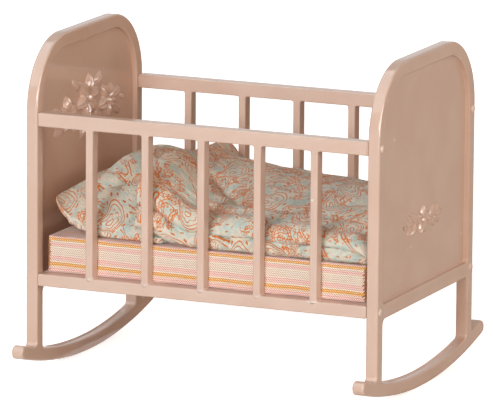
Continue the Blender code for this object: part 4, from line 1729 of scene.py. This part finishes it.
@dataclass
class Duvet(CottonCover):
    """The duvet: it lies over the pillow's foot, rolls over at the front and sinks to the foot end."""

    start: float = 0.0285
    length: float = 0.0698
    width: float = 0.0628
    edge: float = 0.0012
    pillow_rise: float = 0.0153
    hem_rise: float = 0.0044
    pillow_reach: float = 0.0165
    back_height: float = 0.0107
    head_height: float = 0.0057
    head_roll: float = 0.0034
    hem_height: float = 0.0030
    hem_band: float = 0.0012
    squeeze: float = 0.0011
    middle_crease: float = 0.0020
    foot_crease: float = 0.0012
    roughness: float = 0.0009
    front_share: float = 0.34
    front: tuple[tuple[float, float], ...] = (
        (0.0010, 0.0004), (0.0003, 0.0012), (0.0002, 0.0024), (0.0009, 0.0033), (0.0023, 0.0036),
        (0.0012, 0.0040), (0.0004, 0.0050), (0.0004, 0.0066), (0.0015, 0.0083), (0.0036, 0.0093),
        (0.0058, 0.0090), (0.0080, 0.0083), (0.0102, 0.0086), (0.0125, 0.0094),
    )

    def support(self, u: float, v: float) -> float:
        """Return how far above the mattress the underside runs where the pillow carries it."""
        front = 1 - max(0.0, 1 - 2 * v) ** 1.45
        lift = self.hem_rise + (self.pillow_rise - self.hem_rise) * front
        return lift * (1 - smooth_step(u * self.length / self.pillow_reach))

    def rise(self, u: float) -> float:
        """Return the height of the duvet's back above the mattress."""
        return self.back_height + self.head_height * (1 - u) ** 1.6 + self.head_roll * bell(u, 0.035, 0.036)

    def pinch(self, x: float) -> float:
        """Return how far the nearest front bar pinches the duvet in: sharply, then easing towards +X."""
        phase = (x / self.frame.bar_pitch) % 1
        return max(1 - smooth_step(phase / 0.62), smooth_step((phase - 0.93) / 0.07))

    def front_point(self, x: float, share: float, tall: float) -> tuple[float, float]:
        """Place a point of the rolled front.

        Args:
            x: Its place along the cradle.
            share: Its share of the front's curve.
            tall: How tall the duvet stands there, as a share.

        Returns:
            Its inset and its height.
        """
        inset, height = spline(self.front, share)
        hem = 0.96 + 0.20 * math.sin(420 * x + 1) + 0.16 * math.sin(235 * x) - 2.5 * x
        rolled = smooth_step((height - self.hem_height) / self.hem_band)
        pinched = self.pinch(x) * rolled
        height = height * (hem * (1 - rolled) + rolled) * (1 - 0.24 * pinched * bell(share, 0.62, 0.3)) * tall
        return inset + self.squeeze * pinched * bell(share, 0.5, 0.2), height

    def top(self, u: float, v: float) -> Vector:
        """Place a point of the upper face.

        Args:
            u: The point's share along the piece.
            v: Its share across.

        Returns:
            The point.
        """
        x = -self.frame.half_bed + self.start + u * self.length
        ground = self.mattress_top(x, (v - 0.5) * self.width) + self.room
        support = self.support(u, v)
        head = math.sqrt(1 - (1 - min(u / 0.03, 1.0)) ** 2)
        foot = math.sqrt(max(0.0, 1 - max(0.0, (u - 0.9) / 0.1) ** 2))
        tall = (1.10 - 0.34 * u) * (0.3 + 0.7 * head) * foot
        over_pillow = 1 - 0.25 * min(support / self.pillow_rise, 1.0)
        if v < self.front_share:
            share = v / self.front_share
            inset, height = self.front_point(x, share, tall)
            carried = smooth_step(share * 1.6)
            lifted = support * carried + min(support, self.hem_rise) * (1 - carried)
            return Vector((x, inset - self.width / 2, ground + lifted + height * over_pillow))
        share = (v - self.front_share) / (1 - self.front_share)
        inset, height = self.front_point(x, 1.0, tall)
        y = inset - self.width / 2 + share * (self.width - inset)
        near = ground + support + height * over_pillow
        back = math.sqrt(max(0.0, 1 - max(0.0, (share - 0.76) / 0.24) ** 2))
        far = self.mattress_top(x, y) + max(self.rise(u) * (0.35 + 0.65 * head), support + self.edge)
        low = ground + support + self.edge
        z = low + (near + (far - near) * smooth_step(share / 0.62) - low) * back * (foot if share > 0 else 1)
        loose = smooth_step(u / 0.1) * foot
        z -= self.middle_crease * bell(share, 0.10 + 0.9 * max(0.0, 0.42 - u), 0.06) * loose
        crease = self.foot_crease * bell(share, 0.16 + 0.8 * max(0.0, u - 0.55), 0.05)
        z -= crease * smooth_step((u - 0.5) / 0.1) * foot
        rough = noise.noise(Vector((x * 90, y * 70, 0.3))) * self.roughness
        z += rough * smooth_step(share / 0.15) * loose * back
        return Vector((x, y, max(low, z)))

    def place(self, u: float, v: float, w: float) -> Vector:
        """Place a point of the duvet.

        Args:
            u: The point's share along the piece.
            v: Its share across.
            w: Its share up.

        Returns:
            The point.
        """
        top = self.top(u, v)
        under = self.mattress_top(top.x, top.y) + self.room + self.support(u, v)
        return Vector((top.x, top.y, min(under, top.z - self.edge * 0.4) * (1 - w) + top.z * w))


@dataclass
class CornerStitching:
    """The hand stitches that close the mattress's corners: a zigzag of thread up each one."""

    half_length: float = 0.0483
    half_width: float = 0.0320
    low: float = 0.0297
    high: float = 0.0391
    pitch: float = 0.0010
    radius: float = 0.00019
    inset: float = 0.0001
    reach: float = 0.0007
    reach_spread: float = 0.0002
    rise: float = 0.00042
    rise_spread: float = 0.00008

    def build(self, material: bpy.types.Material) -> bpy.types.Object:
        """Build the stitches of all four corners as one piece.

        Args:
            material: The thread's finish.

        Returns:
            The piece.
        """
        bm = bmesh.new()
        count = int((self.high - self.low) / self.pitch)
        for side_x, side_y, index in product((-1, 1), (-1, 1), range(count)):
            level = self.low + (index + 0.5) * self.pitch
            reach = self.reach + self.reach_spread * math.sin(2.3 * index + side_x + 2 * side_y)
            rise = self.rise + self.rise_spread * math.sin(3.1 * index + side_y)
            bends = ((reach, self.inset, level - rise), (2 * self.inset, 2 * self.inset, level),
                     (self.inset, reach, level + rise))
            points = [Vector((side_x * (self.half_length - inner_x), side_y * (self.half_width - inner_y), z))
                      for inner_x, inner_y, z in bends]
            for first, last in zip(points, points[1:]):
                self.strand(bm, first, last)
        return finish_piece("mattress_corner_stitches", bm, material, "mattress",
                            smooth_angle=60.0, weighted=False)

    def strand(self, bm: bmesh.types.BMesh, first: Vector, last: Vector) -> None:
        """Add a short length of thread between two points."""
        run = last - first
        turn = run.to_track_quat("Z", "Y").to_matrix().to_4x4()
        bmesh.ops.create_cone(bm, cap_ends=True, segments=8, radius1=self.radius, radius2=self.radius,
                              depth=run.length * 1.08, matrix=Matrix.Translation((first + last) / 2) @ turn)


# Studio


@dataclass(frozen=True)
class Lamp:
    """A flat lamp that points at the cradle's middle: its place, size, power, colour and what it lights."""

    name: str
    place: tuple[float, float, float]
    size: tuple[float, float]
    watts: float
    colour: Colour = (1, 1, 1)
    lit: Lit = Lit.ALL
    aim: tuple[float, float, float] = (0, 0, 0.045)

    def add(self) -> None:
        """Add the lamp to the scene."""
        data = bpy.data.lights.new(self.name, "AREA")
        data.shape = "RECTANGLE"
        data.size, data.size_y = self.size
        data.energy = self.watts
        data.color = self.colour
        made = add_object(self.name, data)
        turn = (Vector(self.aim) - Vector(self.place)).to_track_quat("-Z", "Y")
        made.matrix_world = Matrix.Translation(self.place) @ turn.to_matrix().to_4x4()
        made.visible_diffuse = self.lit is not Lit.SHINE
        made.visible_glossy = self.lit is not Lit.SURFACE


@dataclass(frozen=True)
class Sheet:
    """A plain sheet on the floor, which only the glossy paint mirrors: a painted reflection; its turn is in
    degrees.
    """

    name: str
    colour: Colour
    size: tuple[float, float]
    middle: tuple[float, float, float]
    turn: float = 0.0


LAMPS = (
    Lamp("key", (-0.10, -1.90, 0.60), (0.5, 0.5), 20.5, (0.88, 1.0, 1.09)),
    Lamp("key_right", (0.50, -1.80, 0.55), (0.6, 0.6), 9.5, (1.0, 0.85, 0.72)),
    Lamp("fill", (1.25, -0.35, 0.36), (0.35, 0.35), 3.9, (0.95, 1.0, 0.95)),
    Lamp("warm_top", (0.90, 0.20, 0.90), (0.5, 0.5), 2.0, (1.0, 0.60, 0.35)),
    Lamp("back", (-0.45, 1.75, 0.65), (0.8, 0.8), 11.0, (1.0, 0.95, 0.90), Lit.SURFACE),
    Lamp("left", (-1.60, 0.10, 0.60), (0.8, 0.8), 7.5, (1.0, 0.95, 0.90), Lit.SURFACE),
    Lamp("side_shine", (1.35, -1.00, 0.75), (1.3, 1.0), 44.0, lit=Lit.SHINE),
    Lamp("low_shine", (1.30, -1.08, 0.24), (1.0, 0.45), 18.0, lit=Lit.SHINE),
    Lamp("top_shine", (-0.40, -0.20, 1.05), (1.5, 1.5), 24.0, lit=Lit.SHINE),
)
# Painted reflections: the dark sheets stand for a darker room and for the shade under the bed, the pale one
# for a paler part of the room.
SHEETS = (
    Sheet("card", (0.20, 0.12, 0.08), (0.16, 1.30), (0.216, 0.692, 0.0003), -23.4),
    Sheet("card_under_bed", (0.45, 0.26, 0.16), (0.07, 0.15), (-0.012, 0.020, 0.0003)),
    Sheet("card_right", (0.92, 0.90, 0.88), (0.40, 1.43), (0.446, 0.521, 0.0002), -23.4),
)


@dataclass
class Studio:
    """The camera at the photograph's angle, plain soft lights and a pale floor."""

    position: tuple[float, float, float] = (0.6930, -1.5950, 0.3987)
    right: tuple[float, float, float] = (0.91622, 0.40061, 0.0076)
    down: tuple[float, float, float] = (0.08635, -0.1789, -0.98007)
    ahead: tuple[float, float, float] = (-0.39127, 0.89861, -0.19851)
    focal_pixels: float = 6284.45
    image_width: float = 493.0
    sensor: float = 36.0
    backdrop: Colour = (1.0, 1.0, 1.0)
    room_tint: Colour = (1.0, 0.88, 0.78)
    room_light: float = 0.13
    floor_colour: Colour = (0.82, 0.81, 0.80)
    floor_glow: float = 0.71
    floor_reach: float = 6.0
    roughness: float = 0.9

    def camera(self) -> None:
        """Add the camera."""
        data = bpy.data.cameras.new("camera")
        data.sensor_width = self.sensor
        data.lens = self.focal_pixels / self.image_width * self.sensor
        data.clip_start = 0.01
        data.clip_end = 20.0
        made = add_object("camera", data)
        axes = Matrix((self.right, [-c for c in self.down], [-c for c in self.ahead])).transposed()
        made.matrix_world = Matrix.Translation(self.position) @ axes.to_4x4()
        bpy.context.scene.camera = made

    def seen_ray(self, g: Graph) -> Value:
        """Tell the rays from the camera, from gloss and through glass from the others.

        Args:
            g: The graph.

        Returns:
            1 for those rays, and 0 for the others.
        """
        rays = g.node("LightPath").outputs
        seen = Value(g, rays["Is Camera Ray"])
        for name in ("Is Glossy Ray", "Is Transmission Ray"):
            seen = seen.larger(Value(g, rays[name]))
        return seen

    def world(self) -> None:
        """Light the scene from all round, and show white behind the cradle."""
        bpy.context.scene.world = bpy.data.worlds.new("studio")
        g = Graph(bpy.context.scene.world)
        seen = self.seen_ray(g)
        back = g.tree.nodes["Background"]
        g.feed(back.inputs["Color"], g.mix(seen, self.room_tint, self.backdrop))
        g.feed(back.inputs["Strength"], seen * (1.0 - self.room_light) + self.room_light)

    def floor(self) -> None:
        """Add the pale floor, which shows white but keeps the cradle's shadow."""
        bm = bmesh.new()
        bmesh.ops.create_grid(bm, x_segments=1, y_segments=1, size=self.floor_reach)
        g = Graph(bpy.data.materials.new("floor"))
        material = g.finish(self.floor_colour, self.roughness, specular=0.1)
        shader = g.tree.nodes["Principled BSDF"]
        g.feed(shader.inputs["Emission Color"], self.backdrop)
        g.feed(shader.inputs["Emission Strength"], self.seen_ray(g) * self.floor_glow)
        add_mesh("floor", bm, material)

    def sheets(self) -> None:
        """Lay the plain sheets beside the cradle, as painted reflections."""
        bm = bmesh.new()
        for slot, sheet in enumerate(SHEETS):
            verts = bmesh.ops.create_grid(bm, x_segments=1, y_segments=1, size=0.5)["verts"]
            bmesh.ops.scale(bm, vec=(*sheet.size, 1), verts=verts)
            bmesh.ops.rotate(bm, matrix=Matrix.Rotation(math.radians(sheet.turn), 3, "Z"), verts=verts)
            bmesh.ops.translate(bm, vec=sheet.middle, verts=verts)
            verts[0].link_faces[0].material_index = slot
        graphs = [(Graph(bpy.data.materials.new(sheet.name)), sheet) for sheet in SHEETS]
        made = add_mesh("card", bm, *[g.finish(sheet.colour, self.roughness) for g, sheet in graphs])
        # only mirror rays see the sheets: painted reflections that cast no shadow and light nothing
        made.visible_camera = made.visible_diffuse = made.visible_shadow = False

    def build(self) -> None:
        """Build the studio."""
        self.camera()
        for lamp in LAMPS:
            lamp.add()
        self.world()
        self.floor()
        self.sheets()
        bpy.context.scene.view_settings.view_transform = "Standard"


def corners(pair: tuple[Vector, Vector]) -> list[list[float]]:
    """Return a box's two corners as plain lists of numbers."""
    return [[float(value) for value in corner] for corner in pair]


def main() -> None:
    """Build the cradle, its bedding and the studio, in order."""
    logging.basicConfig(level=logging.INFO, format="%(message)s")
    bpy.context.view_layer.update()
    end_enamel, gate_enamel, base_enamel, rivet_enamel = [
        finish.material() for finish in (END_ENAMEL, GATE_ENAMEL, BASE_ENAMEL, RIVET_ENAMEL)]
    for end in End:
        EndCasting(end).build(end_enamel)
    for side in Side:
        SideGate(side).build(gate_enamel)
    Rivets().build(rivet_enamel)
    base = frame["nodes"]["bed_base"]
    base.data.materials.clear()
    base.data.materials.append(base_enamel)
    LOG.info("bed_base: the part's own solid, painted")
    Relief("head_garland", head_garland(), End.HEAD, (0.0, 0.0715), (0.0540, 0.0210)).build(end_enamel)
    Relief("foot_sprig", foot_sprig(), End.FOOT, (0.0, 0.0470), (0.0280, 0.0100), 0.00014,
           0.00008).build(end_enamel)

    Mattress("mattress_ticking", ("mattress_cover", "mattress_filling"), "mattress", "striped_ticking",
             (96, 62, 12), (0.35, 0.35, 0.35), 0.9).build(MATTRESS_TICKING.material())
    CornerStitching().build(SEAM_THREAD.material())
    Pillow("pillow_cotton_cover", ("pillow_cover", "pillow_filling"), "pillow", "pillow_cotton",
           (64, 96, 1), (0.5, 0.5, 0.0), 0.7, Rumple()).build(PILLOW_COTTON.material())
    Duvet("duvet_cotton_cover", ("duvet_cover", "duvet_filling"), "duvet", "duvet_cotton",
          (120, 124, 1), (0.35, 0.2, 0.0), 0.6, Rumple()).build(DUVET_COTTON.material())
    Studio().build()


if __name__ == "__main__":
    main()
